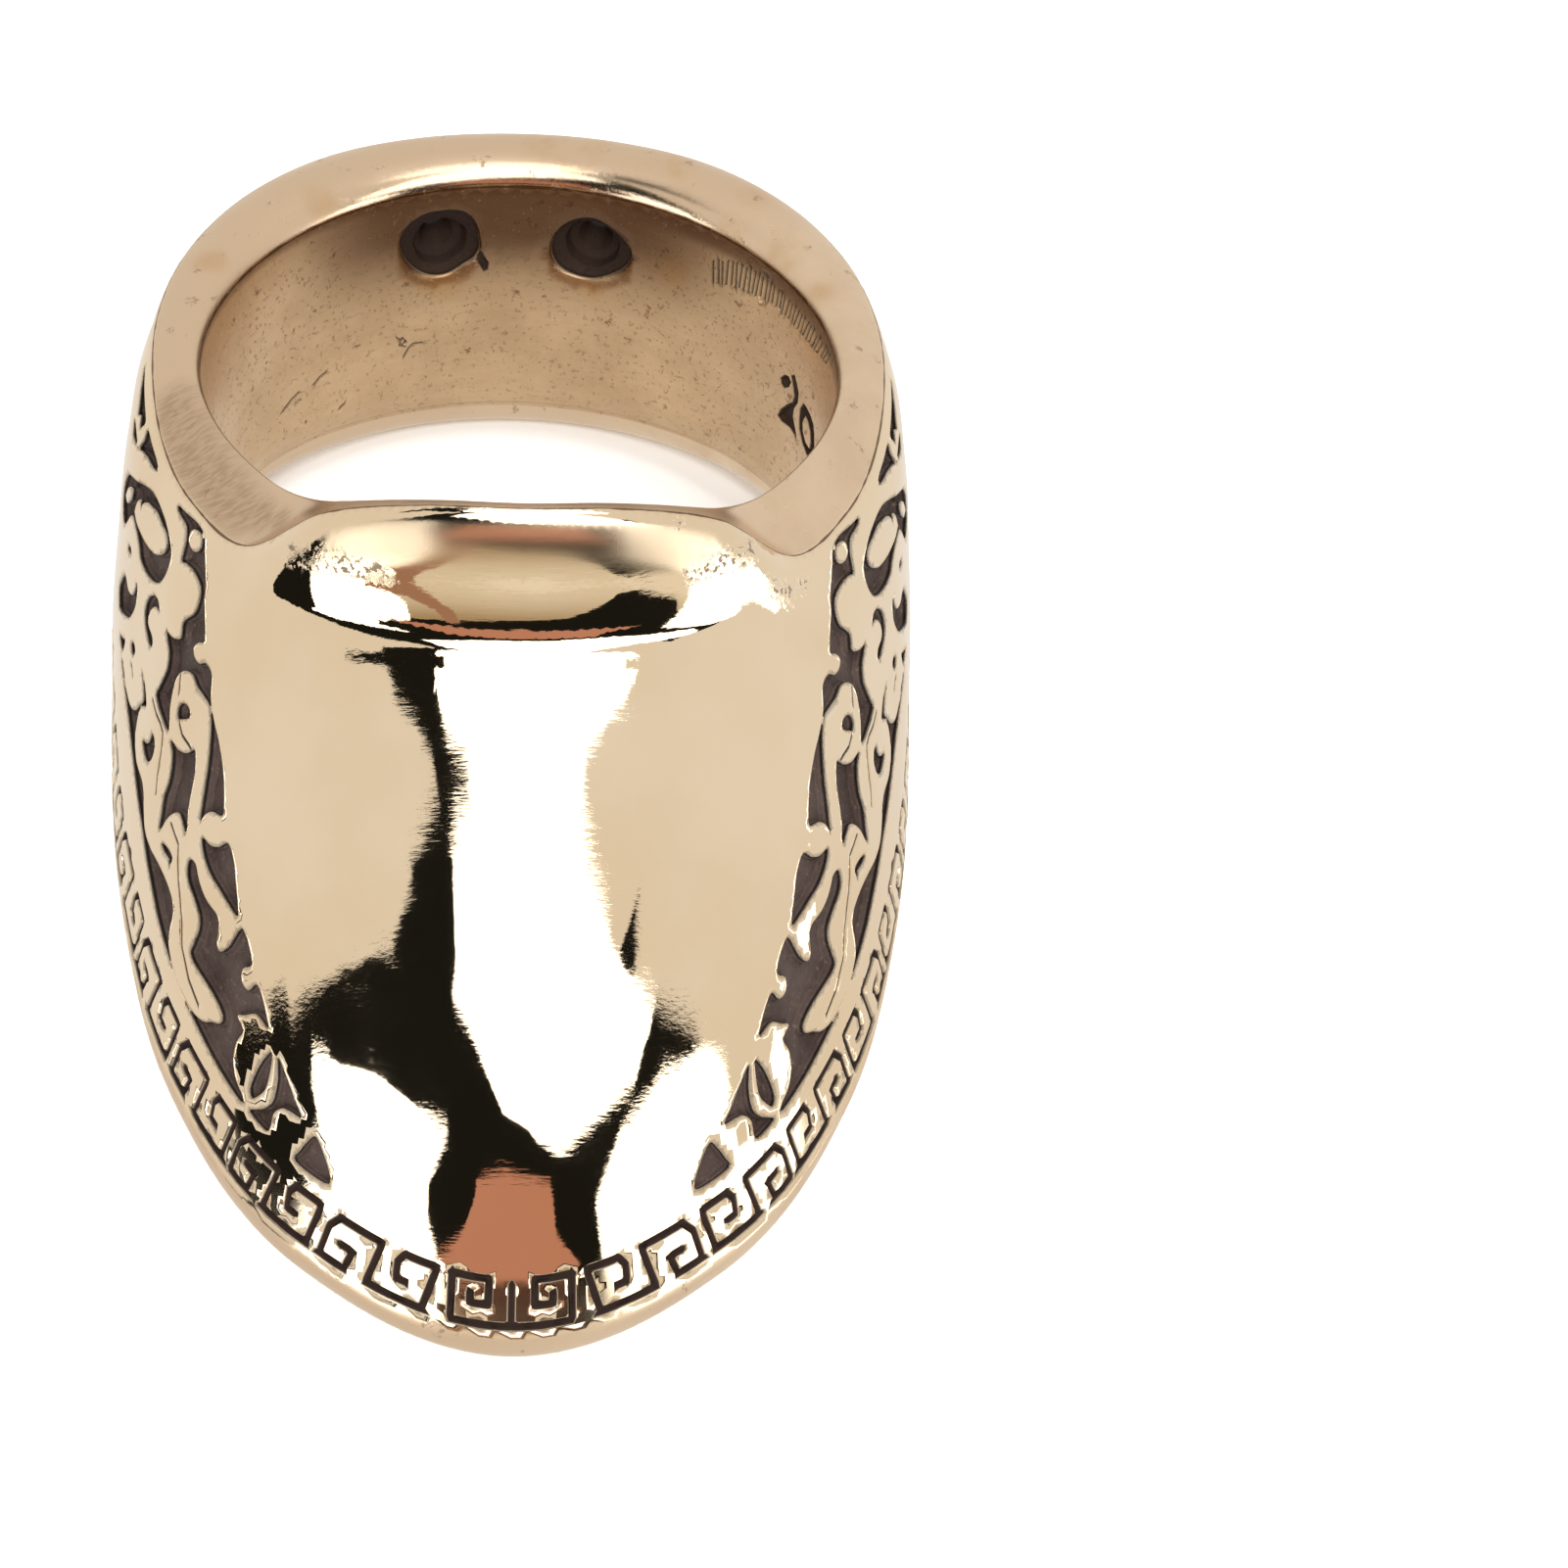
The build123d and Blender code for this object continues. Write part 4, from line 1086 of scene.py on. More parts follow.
# Places with a finish of their own: pixels of the photograph, and a radius in metres
spotMarks = {
    "worn": [
        (300, 564, 0.00050), (312, 568, 0.00045), (326, 571, 0.00055), (340, 573, 0.00055),
        (354, 577, 0.00045), (370, 581, 0.00050), (385, 583, 0.00040), (398, 590, 0.00030),
        (706, 586, 0.00035), (720, 582, 0.00045), (733, 577, 0.00050), (745, 572, 0.00055),
        (757, 567, 0.00050), (768, 561, 0.00040), (790, 600, 0.00050), (804, 606, 0.00050),
        (820, 598, 0.00040), (692, 534, 0.00030),
    ],
    "brushed": [
        (178, 420, 0.0016), (188, 442, 0.0018), (198, 463, 0.0019), (212, 484, 0.0019), (228, 503, 0.0018),
        (246, 519, 0.0014), (266, 527, 0.0010), (286, 531, 0.0007),
    ],
    "stained": [
        (455, 293, 0.0009), (438, 290, 0.0006), (604, 297, 0.0006), (690, 276, 0.0012), (745, 240, 0.0009),
        (800, 260, 0.0010), (835, 300, 0.0008), (770, 200, 0.0008), (330, 205, 0.0010), (215, 265, 0.0009),
    ],
}


def spotShares(spots):
    # How near each of the ring's points is to the charted places, from 0 to 1
    whole = BVHTree.FromPolygons([Vector(p) for p in vertices], polygons)
    shares = np.zeros(len(vertices))
    for (*_, reach), line in zip(spots, sightLines([spot[:2] for spot in spots])):
        hit = whole.ray_cast(Vector(sightFrom), Vector(line))[0]
        if hit is not None:
            shares = np.maximum(shares, 1 - np.linalg.norm(vertices - np.array(hit), axis=1) / reach)
    return shares


def lineGap(loop, spacing=0.00002):
    # How far each of the ring's points is from a closed line
    points = vertices[np.append(loop, loop[0])]
    tree = treeOf(stepped(points, lengthsOf(points), spacing, math.ceil))
    return np.array([tree.find(p)[2] for p in vertices])


def spread(values):
    # Values of the outer face's points, given to their mirror images as well
    whole = np.zeros(len(vertices))
    whole[:len(values)] = values
    whole[mirrorOf] = values
    return whole


def shadeRing(mesh):
    # Normals of the smooth faces, with the relief's lean, and a sharp line where the rim meets the front
    shading = np.zeros(len(vertices) * 3, np.float32)
    mesh.vertices.foreach_get("normal", shading)
    shading = shading.reshape(-1, 3)
    own = np.r_[columns // 2 + 1:holeStart, len(fixedPoints):len(chart)]
    shading[own] = outerNormals[own] @ tilt.T
    shading[mirrorOf[own]] = (outerNormals[own] * flip) @ tilt.T
    middle = own[onMiddle[own]]
    shading[middle] = unit(outerNormals[middle] * [0, 1, 1]) @ tilt.T
    shading[innerPart][len(innerFixed):] = innerNormals[len(innerFixed):] @ tilt.T
    cornerPoints = np.zeros(len(mesh.loops), np.int32)
    mesh.loops.foreach_get("vertex_index", cornerPoints)
    corners = shading[cornerPoints]
    share = np.isin(cornerPoints, creaseLoop)
    crease = vertices[creaseLoop]
    along = np.roll(crease, -1, axis=0) - np.roll(crease, 1, axis=0)
    rimNormals = np.cross(crease - vertices[rimRows[-1]], along)
    rimNormals *= np.sign(rimNormals[:, 2:])
    sharp = np.zeros((len(vertices), 3))
    sharp[creaseLoop] = unit(rimNormals)
    corners[share] = sharp[cornerPoints[share]] @ tilt.T
    share |= np.isin(cornerPoints, edgeLoop)
    share[frontFaces.size:] = False
    corners[share] = frontNormals[cornerPoints[share]] @ tilt.T
    bpy.ops.object.shade_smooth()
    mesh.normals_split_custom_set(corners.tolist())


def dressRing(piece):
    mesh = piece.data
    shadeRing(mesh)
    holes = np.concatenate([row for rows in holeRows for row in rows])
    satin = np.ones(len(vertices))
    satin[:innerPart.start] = 0
    satin[creaseLoop] = 0.5
    wall = np.zeros(len(vertices))
    wall[innerPart] = 1
    wall[topLoop] = 0.5
    wall[holes] = 1
    wall[np.concatenate(underRows[len(edgeShares):])] = 1
    # hollow marks the cord holes' tunnels, which the material paints near black as painted shade
    hollow = np.zeros(len(vertices))
    hollow[holes] = 1
    hollow[[rows[0] for rows in holeRows]] = 0
    values = {
        "sunk": spread(np.clip(depth / relief["depth"], 0, 1)),
        "carved": spread(groove),
        "satin": satin,
        "wall": wall,
        "hollow": hollow,
        "fromCrease": lineGap(creaseLoop),
        "fromBore": lineGap(topLoop),
        "fromEdge": lineGap(edgeLoop),
    }
    values |= {name: spotShares(spots) for name, spots in spotMarks.items()}
    values["carved"][innerPart] = innerGroove
    for name in values:
        layer = mesh.attributes.new(name, "FLOAT", "POINT")
        layer.data.foreach_set("value", values[name].astype(np.float32))
    bpy.ops.object.mode_set(mode="EDIT")
    bpy.ops.mesh.select_all(action="SELECT")
    bpy.ops.mesh.delete_loose(use_verts=True, use_edges=False, use_faces=False)
    bpy.ops.mesh.select_all(action="DESELECT")
    bpy.ops.mesh.select_non_manifold()
    bpy.ops.object.mode_set(mode="OBJECT")
    loose = sum(v.select for v in mesh.vertices)
    print("ring mesh", len(mesh.vertices), "vertices", len(mesh.polygons), "faces, open at", loose)
    return piece


brass = {
    "polished": (0.84, 0.70, 0.51),
    "polishedDeep": (0.80, 0.64, 0.44),
    "satin": (0.77, 0.605, 0.43),
    # a darker satin for random mottle and for painted shade on the rim's left and back
    "satinDeep": (0.62, 0.46, 0.31),
    # the inner wall's satin, darker and browner than the rim's, partly as painted shade inside the bore
    "wall": (0.64, 0.455, 0.275),
    "wallDeep": (0.49, 0.33, 0.19),
    # near-black brown for pits and the crease and bore lines, and for painted shade on the inner wall below
    # the bore's edge
    "stainAndShade": (0.095, 0.042, 0.020),
    "patina": (0.030, 0.019, 0.016),
    "patinaLight": (0.052, 0.036, 0.031),
    # near black for soot in the grooves and worn specks, and for painted shade inside the cord holes
    "sootAndHoleShade": (0.016, 0.009, 0.007),
    "tarnish": (0.58, 0.36, 0.17),
    "brown": (0.30, 0.19, 0.12),
    "polishedRough": 0.02,
    "satinRough": 0.28,
    "patinaRough": 0.60,
    "mottle": 420,            # per metre, as all the scales here
    "cloud": 130,
    "grain": 5200,
    "pits": 1500,
    "brush": 900,
    "specks": 6200,
    "hatch": 9000,
    "streaks": 7000,
    "swell": 160,
    "lineWidth": 0.000045,    # dark line along the crease and the hole's edge
}
# Where a finish or a painted shade changes, in metres: along X or Y, or as gaps from the crease, the bore or
# the edge
zones = {
    "back": (0.0150, 0.0184),      # Y
    "shade": (0.005, -0.003),      # X
    "bandX": (0.003, 0.006),
    "bandY": (0.0075, 0.0105),
    "band": (0.0009, 0.0004),
    "deep": (0.0052, 0.0018),
    "halo": (0.00045, 0.00003),
    "burnished": (0.0011, 0.0004),
    "lip": (0.0021, 0.0013),
    "lipStart": (0.0003, 0.0006),
    "lipY": (0.0005, -0.0010),
    "lipSide": (0.0063, 0.0057),   # X, to either side
    "lipMiddle": (0.0020, 0.0042),
    "lowest": (0.0022, 0.0004),
}
# Heights of the fine relief, in metres
heights = {
    "polishedGrain": 0.00000005,
    "satinGrain": 0.0000035,
    "patinaGrain": 0.000026,
    "wornGrain": 0.000012,
    "pits": -0.000010,
    "brush": 0.000006,
    "swell": 0.000012,
    "streaks": 0.0000020,
}


def plainMaterial(name):
    material = bpy.data.materials.new(name)
    material.use_nodes = True
    return material, material.node_tree.nodes["Principled BSDF"]


def brassMaterial():
    material, shader = plainMaterial("castBrass")
    nodes, links = material.node_tree.nodes, material.node_tree.links
    place = nodes.new("ShaderNodeTexCoord").outputs["Object"]
    spot = nodes.new("ShaderNodeSeparateXYZ")
    links.new(place, spot.inputs["Vector"])

    def layer(name):
        node = nodes.new("ShaderNodeAttribute")
        node.attribute_name = name
        return node.outputs["Fac"]

    def noise(scale, detail=3, rough=0.5, stretch=None):
        node = nodes.new("ShaderNodeTexNoise")
        node.inputs["Scale"].default_value = scale
        node.inputs["Detail"].default_value = detail
        node.inputs["Roughness"].default_value = rough
        if stretch:
            turn = nodes.new("ShaderNodeMapping")
            turn.inputs["Scale"].default_value = stretch
            links.new(place, turn.inputs["Vector"])
            links.new(turn.outputs["Vector"], node.inputs["Vector"])
        else:
            links.new(place, node.inputs["Vector"])
        return node.outputs["Fac"]

    def put(value, socket):
        if isinstance(value, (int, float, tuple)):
            socket.default_value = value if not isinstance(value, tuple) else (*value, 1)
        else:
            links.new(value, socket)

    def sums(operation, a, b=0.0, c=0.0):
        node = nodes.new("ShaderNodeMath")
        node.operation = operation
        for value, socket in zip((a, b, c), node.inputs):
            put(value, socket)
        return node.outputs[0]

    def times(*values):
        whole = values[0]
        for value in values[1:]:
            whole = sums("MULTIPLY", whole, value)
        return whole

    def between(value, low, high, outLow=0.0, outHigh=1.0):
        node = nodes.new("ShaderNodeMapRange")
        node.interpolation_type = "SMOOTHSTEP"
        put(value, node.inputs["Value"])
        for name, number in (("From Min", low), ("From Max", high), ("To Min", outLow), ("To Max", outHigh)):
            node.inputs[name].default_value = number
        return node.outputs["Result"]

    def blend(share, a, b):
        node = nodes.new("ShaderNodeMix")
        node.data_type = "RGBA"
        put(share, node.inputs["Factor"])
        put(a, node.inputs["A"])
        put(b, node.inputs["B"])
        return node.outputs["Result"]

    def blendNumber(share, a, b):
        node = nodes.new("ShaderNodeMix")
        put(share, node.inputs["Factor"])
        put(a, node.inputs["A"])
        put(b, node.inputs["B"])
        return node.outputs["Result"]

    names = "sunk carved satin wall hollow fromCrease fromBore fromEdge worn brushed stained"
    sunk, carved, satin, wall, hollow, crease, bore, edge, worn, brushed, stained = map(layer, names.split())
    along, across = spot.outputs["Y"], spot.outputs["X"]
    clean = sums("SUBTRACT", 1.0, satin)
    cloud = between(noise(brass["cloud"], 4), 0.35, 0.65)
    mottle = between(noise(brass["mottle"], 5, 0.6), 0.3, 0.7)
    grain = noise(brass["grain"], 4, 0.65)
    pits = between(noise(brass["pits"], 6, 0.7), 0.62, 0.70)
    specks = between(noise(brass["specks"], 3, 0.6), 0.60, 0.68)
    brush = noise(brass["brush"], 6, 0.7, (1, 1, 4))
    stain = between(noise(brass["cloud"] * 1.7, 5, 0.65), 0.60, 0.74)

    # Clean metal: polished front, satin rim with painted shade to the left and at the back, and a browner
    # inner wall, darker partly as painted shade inside the bore, with painted shade below the bore's edge
    polished = blend(cloud, brass["polished"], brass["polishedDeep"])
    atBack = between(along, *zones["back"])
    # painted shade: the rim's satin darker towards -X and at the back
    shaded = times(sums("MAXIMUM", between(across, *zones["shade"]), atBack), 0.6)
    shaded = sums("MAXIMUM", times(mottle, 0.5), shaded)
    dull = blend(shaded, brass["satin"], brass["satinDeep"])
    tarnished = between(stained, 0, 0.8)
    dull = blend(sums("MAXIMUM", times(stain, 0.35), times(tarnished, mottle, 0.5)), dull, brass["tarnish"])
    dull = blend(times(pits, 0.6), dull, brass["brown"])
    hatch = between(noise(brass["hatch"], 2, 0.5, (0.07, 1, 0.3)), 0.35, 0.65)
    dull = blend(times(between(brushed, 0.0, 0.8), blendNumber(hatch, 0.30, 0.60)), dull, brass["brown"])
    # the inner wall's colour: darker partly as painted shade inside the bore, with real brushing and mottle
    inside = blend(times(between(brush, 0.35, 0.7), 0.30), brass["wall"], brass["wallDeep"])
    inside = blend(times(mottle, 0.45), inside, brass["wallDeep"])
    inside = blend(times(tarnished, between(mottle, 0, 1, 0.35, 0.9)), inside, brass["tarnish"])
    # painted shade: a dark band on the back of the inner wall, below the bore's edge
    deep = between(sums("ADD", bore, times(mottle, 0.0007)), *zones["deep"])
    inside = blend(times(atBack, deep, 0.92), inside, brass["stainAndShade"])
    # painted shade: a dark band just below the bore's edge on the right of the inner wall
    band = times(between(bore, *zones["band"]), between(across, *zones["bandX"]))
    band = times(band, between(along, *zones["bandY"]), 0.75)
    inside = blend(band, inside, brass["stainAndShade"])
    inside = blend(times(specks, 0.42), inside, brass["brown"])
    inside = blend(times(pits, 0.65), inside, brass["stainAndShade"])
    metal = blend(satin, polished, dull)
    metal = blend(wall, metal, inside)
    rubbed = times(between(worn, 0.0, 0.5), between(noise(brass["specks"], 3), 0.53, 0.59))

    # Dark ground, grooves, painted shade in the holes and below the bore's edge, and the fine lines along the
    # edges
    patina = blend(mottle, brass["patina"], brass["patinaLight"])
    covered = times(between(sunk, 0.03, 0.30), between(grain, 0.15, 0.45, 0.90, 1.0))
    metal = blend(covered, metal, patina)
    width = times(between(noise(brass["mottle"] * 3, 2), 0.3, 0.7), brass["lineWidth"])
    width = sums("ADD", brass["lineWidth"] * 0.5, width)
    edgeLine = between(sums("DIVIDE", crease, width), 1.0, 0.45)
    boreLine = between(sums("DIVIDE", bore, width), 1.7, 0.7)
    # painted shade: a brown halo on the inner wall just below the bore's edge
    boreHalo = times(between(bore, *zones["halo"]), wall, 0.65)
    lines = sums("MAXIMUM", times(edgeLine, 0.85), sums("MAXIMUM", times(boreLine, 0.85), boreHalo))
    metal = blend(lines, metal, brass["stainAndShade"])
    # painted shade: the cord holes' tunnels (hollow) near black, beside soot in the grooves and dark worn
    # specks
    dark = sums("MAXIMUM", between(carved, 0.10, 0.55, 0, 0.97), times(hollow, 0.98))
    dark = sums("MAXIMUM", dark, times(rubbed, 0.85))
    metal = blend(dark, metal, brass["sootAndHoleShade"])
    links.new(metal, shader.inputs["Base Color"])
    # patina, soot and wear, and the holes' painted shade, all lose the metal's shine
    dirtAndHoleShade = sums("MAXIMUM", covered, dark)
    links.new(blendNumber(dirtAndHoleShade, 1.0, 0.08), shader.inputs["Metallic"])
    links.new(blendNumber(dirtAndHoleShade, 0.5, 0.12), shader.inputs["Specular IOR Level"])
    gloss = between(mottle, 0, 1, brass["polishedRough"], brass["polishedRough"] + 0.02)
    rough = blendNumber(satin, gloss, between(mottle, 0, 1, brass["satinRough"], brass["satinRough"] + 0.08))
    burnished = times(atBack, between(bore, *zones["burnished"]), sums("SUBTRACT", 1.0, wall))
    rough = blendNumber(times(burnished, satin), rough, 0.13)
    lip = times(between(crease, *zones["lip"]), between(along, *zones["lipY"]), clean)
    side = sums("ABSOLUTE", across)
    lip = times(lip, between(crease, *zones["lipStart"]), between(side, *zones["lipSide"]))
    rough = blendNumber(lip, rough, between(side, *zones["lipMiddle"], 0.20, 0.42))
    rough = blendNumber(times(between(edge, *zones["lowest"]), clean), rough, 0.16)
    links.new(blendNumber(dirtAndHoleShade, rough, brass["patinaRough"]), shader.inputs["Roughness"])

    # Fine relief: casting grain, pits, brushing, and faint streaks across the polish
    grainHeight = blendNumber(satin, heights["polishedGrain"], heights["satinGrain"])
    height = times(grain, blendNumber(dirtAndHoleShade, grainHeight, heights["patinaGrain"]))
    streaks = noise(brass["streaks"], 3, 0.6, (0.08, 1, 1))
    streaks = times(streaks, between(noise(brass["mottle"], 3), 0.35, 0.65))
    for more in (
        times(sums("MAXIMUM", pits, times(specks, wall)), satin, heights["pits"]),
        times(brush, satin, heights["brush"]),
        times(grain, between(worn, 0.0, 0.6), heights["wornGrain"]),
        times(noise(brass["swell"], 1, 0.4), clean, heights["swell"]),
        times(streaks, clean, heights["streaks"]),
    ):
        height = sums("ADD", height, more)
    bump = nodes.new("ShaderNodeBump")
    bump.inputs["Strength"].default_value = 1
    bump.inputs["Distance"].default_value = 1
    links.new(height, bump.inputs["Height"])
    links.new(bump.outputs["Normal"], shader.inputs["Normal"])
    return material


thumbRing = dressRing(buildRing())
thumbRing.data.materials.append(brassMaterial())
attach(thumbRing, "root")
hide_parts("thumb_ring")
print("ring dressed")


def addCamera():
    spot = Vector(seated(sightFrom[None])[0])
    axes = Matrix(tilt @ sightTurn)
    camera = bpy.data.objects.new("camera", bpy.data.cameras.new("camera"))
    camera.data.lens = view["perMetre"] * view["distance"] / view["frame"] * view["sensor"]
    camera.data.sensor_width = view["sensor"]
    camera.data.clip_start = view["clipStart"]
    camera.matrix_world = Matrix.Translation(spot) @ axes.to_4x4()
    bpy.context.scene.collection.objects.link(camera)
    bpy.context.scene.camera = camera
    print("camera at", tuple(round(v, 4) for v in spot), "lens", camera.data.lens)


studio = {
    "floorSize": 3.0,
    "floor": (0.93, 0.925, 0.915),
    "floorRough": 0.9,
    "sky": (1.0, 0.955, 0.90),
    "skyStrength": 0.90,
    "cardStep": 16,           # between a card's points, in pixels of the photograph
    "lowStep": 4,             # and in degrees
    "lipAt": (530, 600),
    "inset": 0.6,             # of a step, between a card's outline and the points inside it
    "white": (2.8, 2.8, 2.8),
    "black": (0.012, 0.012, 0.010),
    "overheadHeight": 0.46,
}
lamps = {
    "softbox": {"spot": (0.0, -0.55, 0.45), "size": (0.12, 0.7), "energy": 9},
    "top": {"spot": (0.15, 0.2, 0.7), "size": (0.5, 0.5), "energy": 5},
}
lampsAim = (0, 0, 0.01)
# Cards that only the polished front mirrors, each drawn as the patch it makes there, in pixels of the
# photograph. reach: how far off the card hangs, in metres.
cards = {
    "dark": {
        "reach": 0.52, "color": studio["black"], "outline": [
            (395, 680), (408, 719), (424, 739), (439, 765), (445, 788), (447, 813), (439, 849), (421, 887),
            (417, 920), (406, 951), (401, 972), (374, 983), (342, 1002), (311, 1018), (296, 1045),
            (285, 1063), (268, 1110), (290, 1200), (340, 1290), (430, 1330), (530, 1340), (640, 1325),
            (700, 1290), (735, 1200), (742, 1130), (724, 1085), (721, 1071), (702, 1047), (681, 1031),
            (668, 1021), (650, 1000), (612, 960), (585, 880), (575, 800), (590, 740), (625, 690), (500, 682),
        ],
    },
    "strip": {
        "reach": 0.46, "color": studio["white"], "outline": [
            (444, 690), (450, 720), (457, 752), (470, 767), (480, 785), (478, 818), (467, 831), (462, 877),
            (463, 920), (465, 978), (461, 1018), (481, 1058), (497, 1098), (513, 1138), (540, 1155),
            (547, 1165), (574, 1179), (595, 1157), (627, 1128), (649, 1104), (657, 1071), (665, 1047),
            (667, 1026), (656, 1007), (640, 994), (627, 970), (619, 935), (611, 900), (604, 877), (599, 839),
            (596, 801), (598, 770), (607, 752), (637, 716), (648, 699), (652, 684), (550, 680), (444, 682),
        ],
    },
    "whiteLeft": {
        "reach": 0.46, "color": studio["white"], "outline": [
            (320, 1071), (347, 1085), (382, 1095), (406, 1114), (427, 1130), (458, 1150), (454, 1168),
            (438, 1208), (437, 1235), (433, 1267), (400, 1290), (360, 1290), (339, 1243), (320, 1162),
            (326, 1146), (318, 1101),
        ],
    },
    "whiteRight": {
        "reach": 0.46, "color": studio["white"], "outline": [
            (724, 1085), (740, 1106), (745, 1136), (745, 1200), (720, 1260), (690, 1290), (675, 1267),
            (662, 1224), (647, 1197), (659, 1181), (691, 1146), (707, 1114),
        ],
    },
    "warm": {
        "reach": 0.42, "color": (0.60, 0.29, 0.21), "outline": [
            (487, 1203), (516, 1192), (561, 1203), (564, 1221), (568, 1259), (595, 1294), (560, 1310),
            (480, 1310), (440, 1290), (468, 1262), (476, 1246), (485, 1221),
        ],
    },
}


# Cards that the hollow under the lip mirrors, as turns from the front and heights above the floor in degrees
lowCards = {
    "darkLow": {
        "reach": 0.54, "color": studio["black"], "outline": [
            (-40, 20), (-34, 22), (-12, 23), (2, 21), (12, 20), (20, 15), (28, 9), (34, 8), (46, 9),
            (48, 18), (50, 26), (60, 30), (62, 46), (20, 48), (-20, 46), (-40, 42),
        ],
    },
    "darkLeft": {
        "reach": 0.50, "color": studio["black"], "outline": [
            (-97, -13), (-92, -7), (-88, -2), (-86, 2), (-83, 6), (-77, 9), (-72, 9), (-69, 5), (-70, -3),
            (-74, -12), (-85, -16),
        ],
    },
    "darkAbove": {
        "reach": 0.53, "color": studio["black"], "outline": [
            (-90, 50), (-92, 64), (-88, 72), (-78, 79), (-60, 81), (-50, 79), (-61, 75), (-72.5, 68),
            (-78, 60.5), (-80, 57.5), (-83, 53), (-86, 49),
        ],
    },
    "whiteLeftLow": {
        "reach": 0.48, "color": studio["white"], "outline": [
            (-71, -14), (-70, 4), (-69, 12), (-66, 20), (-58, 25), (-45, 26), (-33, 23), (-33, 14), (-37, 8),
            (-42, 4), (-44, -14),
        ],
    },
    "whiteRightLow": {
        "reach": 0.48, "color": studio["white"], "outline": [
            (51, -14), (51, 4), (49, 12), (46, 20), (45, 27), (55, 28), (66, 23), (74, 14), (78, 8), (80, 0),
            (88, -7), (102, -12), (102, -18), (80, -18),
        ],
    },
    "warmLeft": {
        "reach": 0.45, "color": (0.42, 0.24, 0.17), "outline": [
            (-44, 5), (-34, 7), (-24, 11), (-17, 17), (-15, 25), (-19, 25), (-23, 17), (-32, 11.5),
            (-43, 7.5),
        ],
    },
    "gold": {
        "reach": 0.57, "color": (0.86, 0.80, 0.69), "fade": (8, 21), "far": (0.47, 0.36, 0.23), "outline": [
            (-48, 7), (-44, 24), (-20, 30), (20, 30), (52, 24), (52, 6), (20, 6), (-10, 6),
        ],
    },
    "pale": {
        "reach": 0.56, "color": (0.96, 0.91, 0.82), "outline": [
            (-48, -6), (-48, 7), (-25, 8), (0, 8), (25, 8), (52, 7), (52, -6), (0, -6),
        ],
    },
}
# A white card right overhead, as its corners in metres
overhead = [
    (-0.140, -0.100), (0.020, -0.088), (0.200, -0.072), (0.200, -0.030), (0.100, 0.015), (-0.060, 0.015),
    (-0.100, -0.030),
]


def mirrored(pixels, reach):
    # Where the polished front throws the view through places of the photograph
    front = BVHTree.FromPolygons([Vector(p) for p in frontBase], frontFaces.tolist())
    spots = []
    for line in sightLines(pixels):
        hit, _, face, _ = front.ray_cast(Vector(sightFrom), Vector(line))
        if hit is None:
            raise ValueError(f"a card leaves the front at {pixels[len(spots)]}")
        corners = frontFaces[face]
        shares = poly_3d_calc([Vector(frontBase[k]) for k in corners], hit)
        normal = unit((frontNormals[corners] * np.array(shares)[:, None]).sum(0))
        away = line - 2 * (line @ normal) * normal
        spots.append(np.array(hit) + away * reach)
    return seated(np.array(spots))


def filled(corners, step):
    # Points and triangles that fill an outline
    corners = np.array(corners + corners[:1], float)
    loop = stepped(corners, lengthsOf(corners), step)[:-1]
    spans = (np.arange(low, high, step) for low, high in zip(loop.min(0), loop.max(0)))
    spots = np.stack(np.meshgrid(*spans, indexing="ij"), axis=-1).reshape(-1, 2)
    spots = spots[inside([loop], spots)]
    gaps = np.linalg.norm(spots[:, None] - loop[None], axis=2).min(1) if len(spots) else np.zeros(0)
    points = np.concatenate([loop, spots[gaps > step * studio["inset"]]])
    size = np.ptp(points, axis=0).max()
    cardFaces = triangles(points / size, [np.arange(len(loop))])
    return points, cardFaces[inside([loop], points[cardFaces].mean(1))].tolist()


def addCard(name, places, cardFaces, color, fade=None, far=None):
    mesh = bpy.data.meshes.new(name)
    mesh.from_pydata(places.tolist(), [], cardFaces)
    material, shader = plainMaterial(name)
    shader.inputs["Base Color"].default_value = (0, 0, 0, 1)
    shader.inputs["Specular IOR Level"].default_value = 0
    shader.inputs["Emission Color"].default_value = (*color, 1)
    shader.inputs["Emission Strength"].default_value = 1
    if fade:
        nodes, links = material.node_tree.nodes, material.node_tree.links
        place = nodes.new("ShaderNodeTexCoord")
        height = nodes.new("ShaderNodeSeparateXYZ")
        share = nodes.new("ShaderNodeMapRange")
        shade = nodes.new("ShaderNodeMix")
        shade.data_type = "RGBA"
        share.inputs["From Min"].default_value, share.inputs["From Max"].default_value = fade
        shade.inputs["A"].default_value = (*color, 1)
        shade.inputs["B"].default_value = (*far, 1)
        links.new(place.outputs["Object"], height.inputs["Vector"])
        links.new(height.outputs["Z"], share.inputs["Value"])
        links.new(share.outputs["Result"], shade.inputs["Factor"])
        links.new(shade.outputs["Result"], shader.inputs["Emission Color"])
    mesh.materials.append(material)
    piece = bpy.data.objects.new(name, mesh)
    bpy.context.scene.collection.objects.link(piece)
    piece.visible_camera = piece.visible_diffuse = piece.visible_shadow = piece.visible_transmission = False


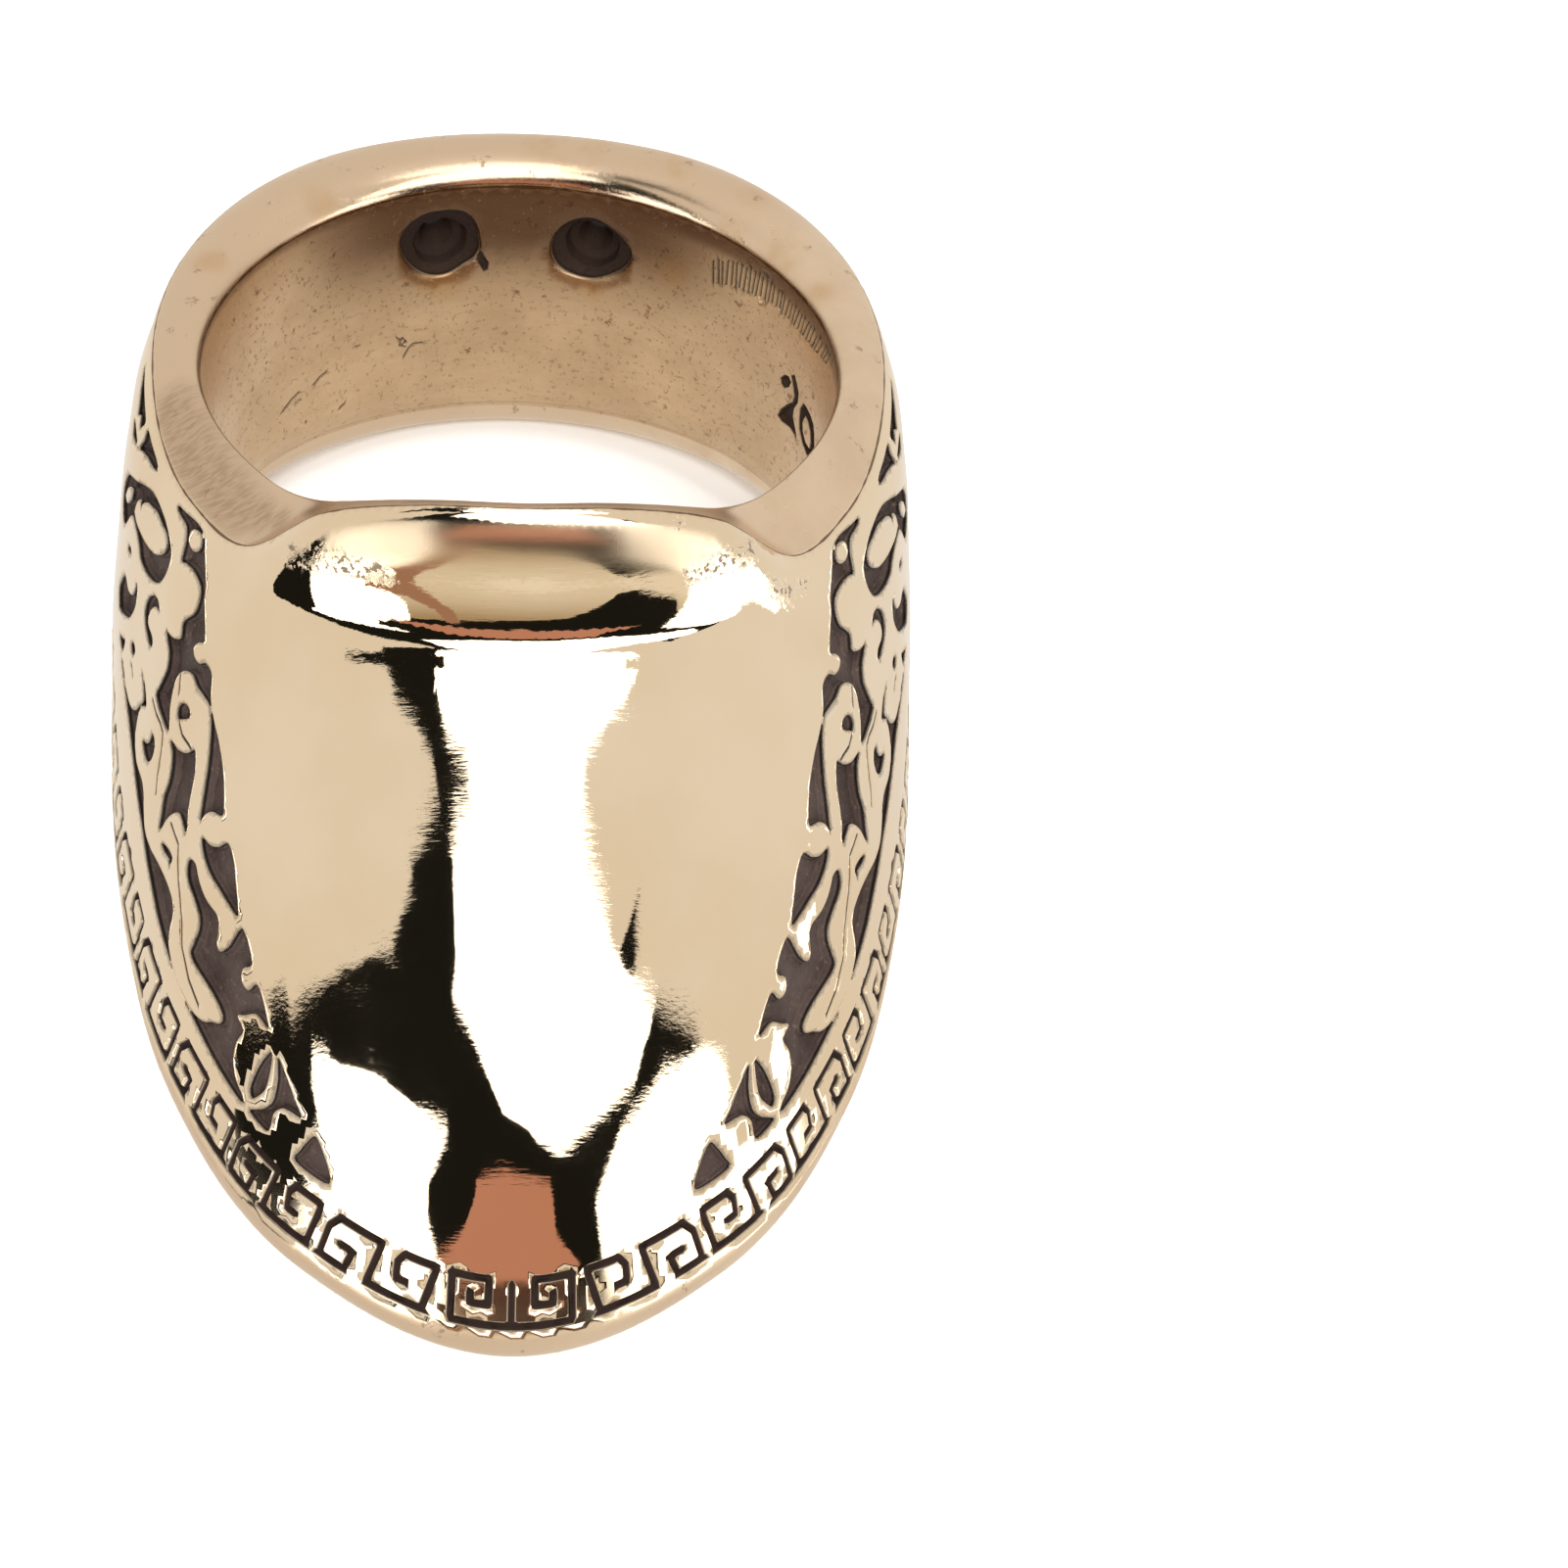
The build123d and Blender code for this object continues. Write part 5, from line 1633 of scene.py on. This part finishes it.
def addCards():
    for name, card in cards.items():
        points, cardFaces = filled(card["outline"], studio["cardStep"])
        addCard(name + "Card", mirrored(points, card["reach"]), cardFaces, card["color"])
    lip = mirrored([studio["lipAt"]], 0)[0]
    for name, card in lowCards.items():
        points, cardFaces = filled(card["outline"], studio["lowStep"])
        turn, height = np.radians(points).T
        level = np.cos(height)
        away = np.stack([np.sin(turn) * level, -np.cos(turn) * level, np.sin(height)], axis=1)
        fade = [lip[2] + card["reach"] * math.sin(math.radians(h)) for h in card.get("fade", ())]
        addCard(name + "Card", lip + away * card["reach"], cardFaces, card["color"], fade, card.get("far"))
    corners = np.array([(x, y, studio["overheadHeight"]) for x, y in overhead])
    addCard("overheadCard", corners + [0, lip[1], 0], [tuple(range(len(overhead)))], studio["white"])


def addFloor():
    bpy.ops.mesh.primitive_plane_add(size=studio["floorSize"], location=(0, 0, 0))
    floor = bpy.context.active_object
    floor.name = "floor"
    material, shader = plainMaterial("paleFloor")
    shader.inputs["Base Color"].default_value = (*studio["floor"], 1)
    shader.inputs["Roughness"].default_value = studio["floorRough"]
    floor.data.materials.append(material)
    floor.visible_glossy = False


def addLight(name, spot, size, energy):
    lamp = bpy.data.lights.new(name, "AREA")
    lamp.shape = "RECTANGLE"
    lamp.size, lamp.size_y = size
    lamp.energy = energy
    light = bpy.data.objects.new(name, lamp)
    light.location = spot
    light.rotation_euler = (Vector(lampsAim) - Vector(spot)).to_track_quat("-Z", "Y").to_euler()
    light.visible_glossy = False
    bpy.context.scene.collection.objects.link(light)


def addStudio():
    world = bpy.data.worlds.new("studio")
    world.use_nodes = True
    sky = world.node_tree.nodes["Background"]
    sky.inputs["Color"].default_value = (*studio["sky"], 1)
    sky.inputs["Strength"].default_value = studio["skyStrength"]
    bpy.context.scene.world = world
    bpy.context.scene.view_settings.view_transform = "Standard"
    addFloor()
    addCards()
    for name, lamp in lamps.items():
        addLight(name, **lamp)
    print("studio set")


for name in ("Cube", "Light", "Camera"):
    if name in bpy.data.objects:
        bpy.data.objects.remove(bpy.data.objects[name])
addCamera()
addStudio()
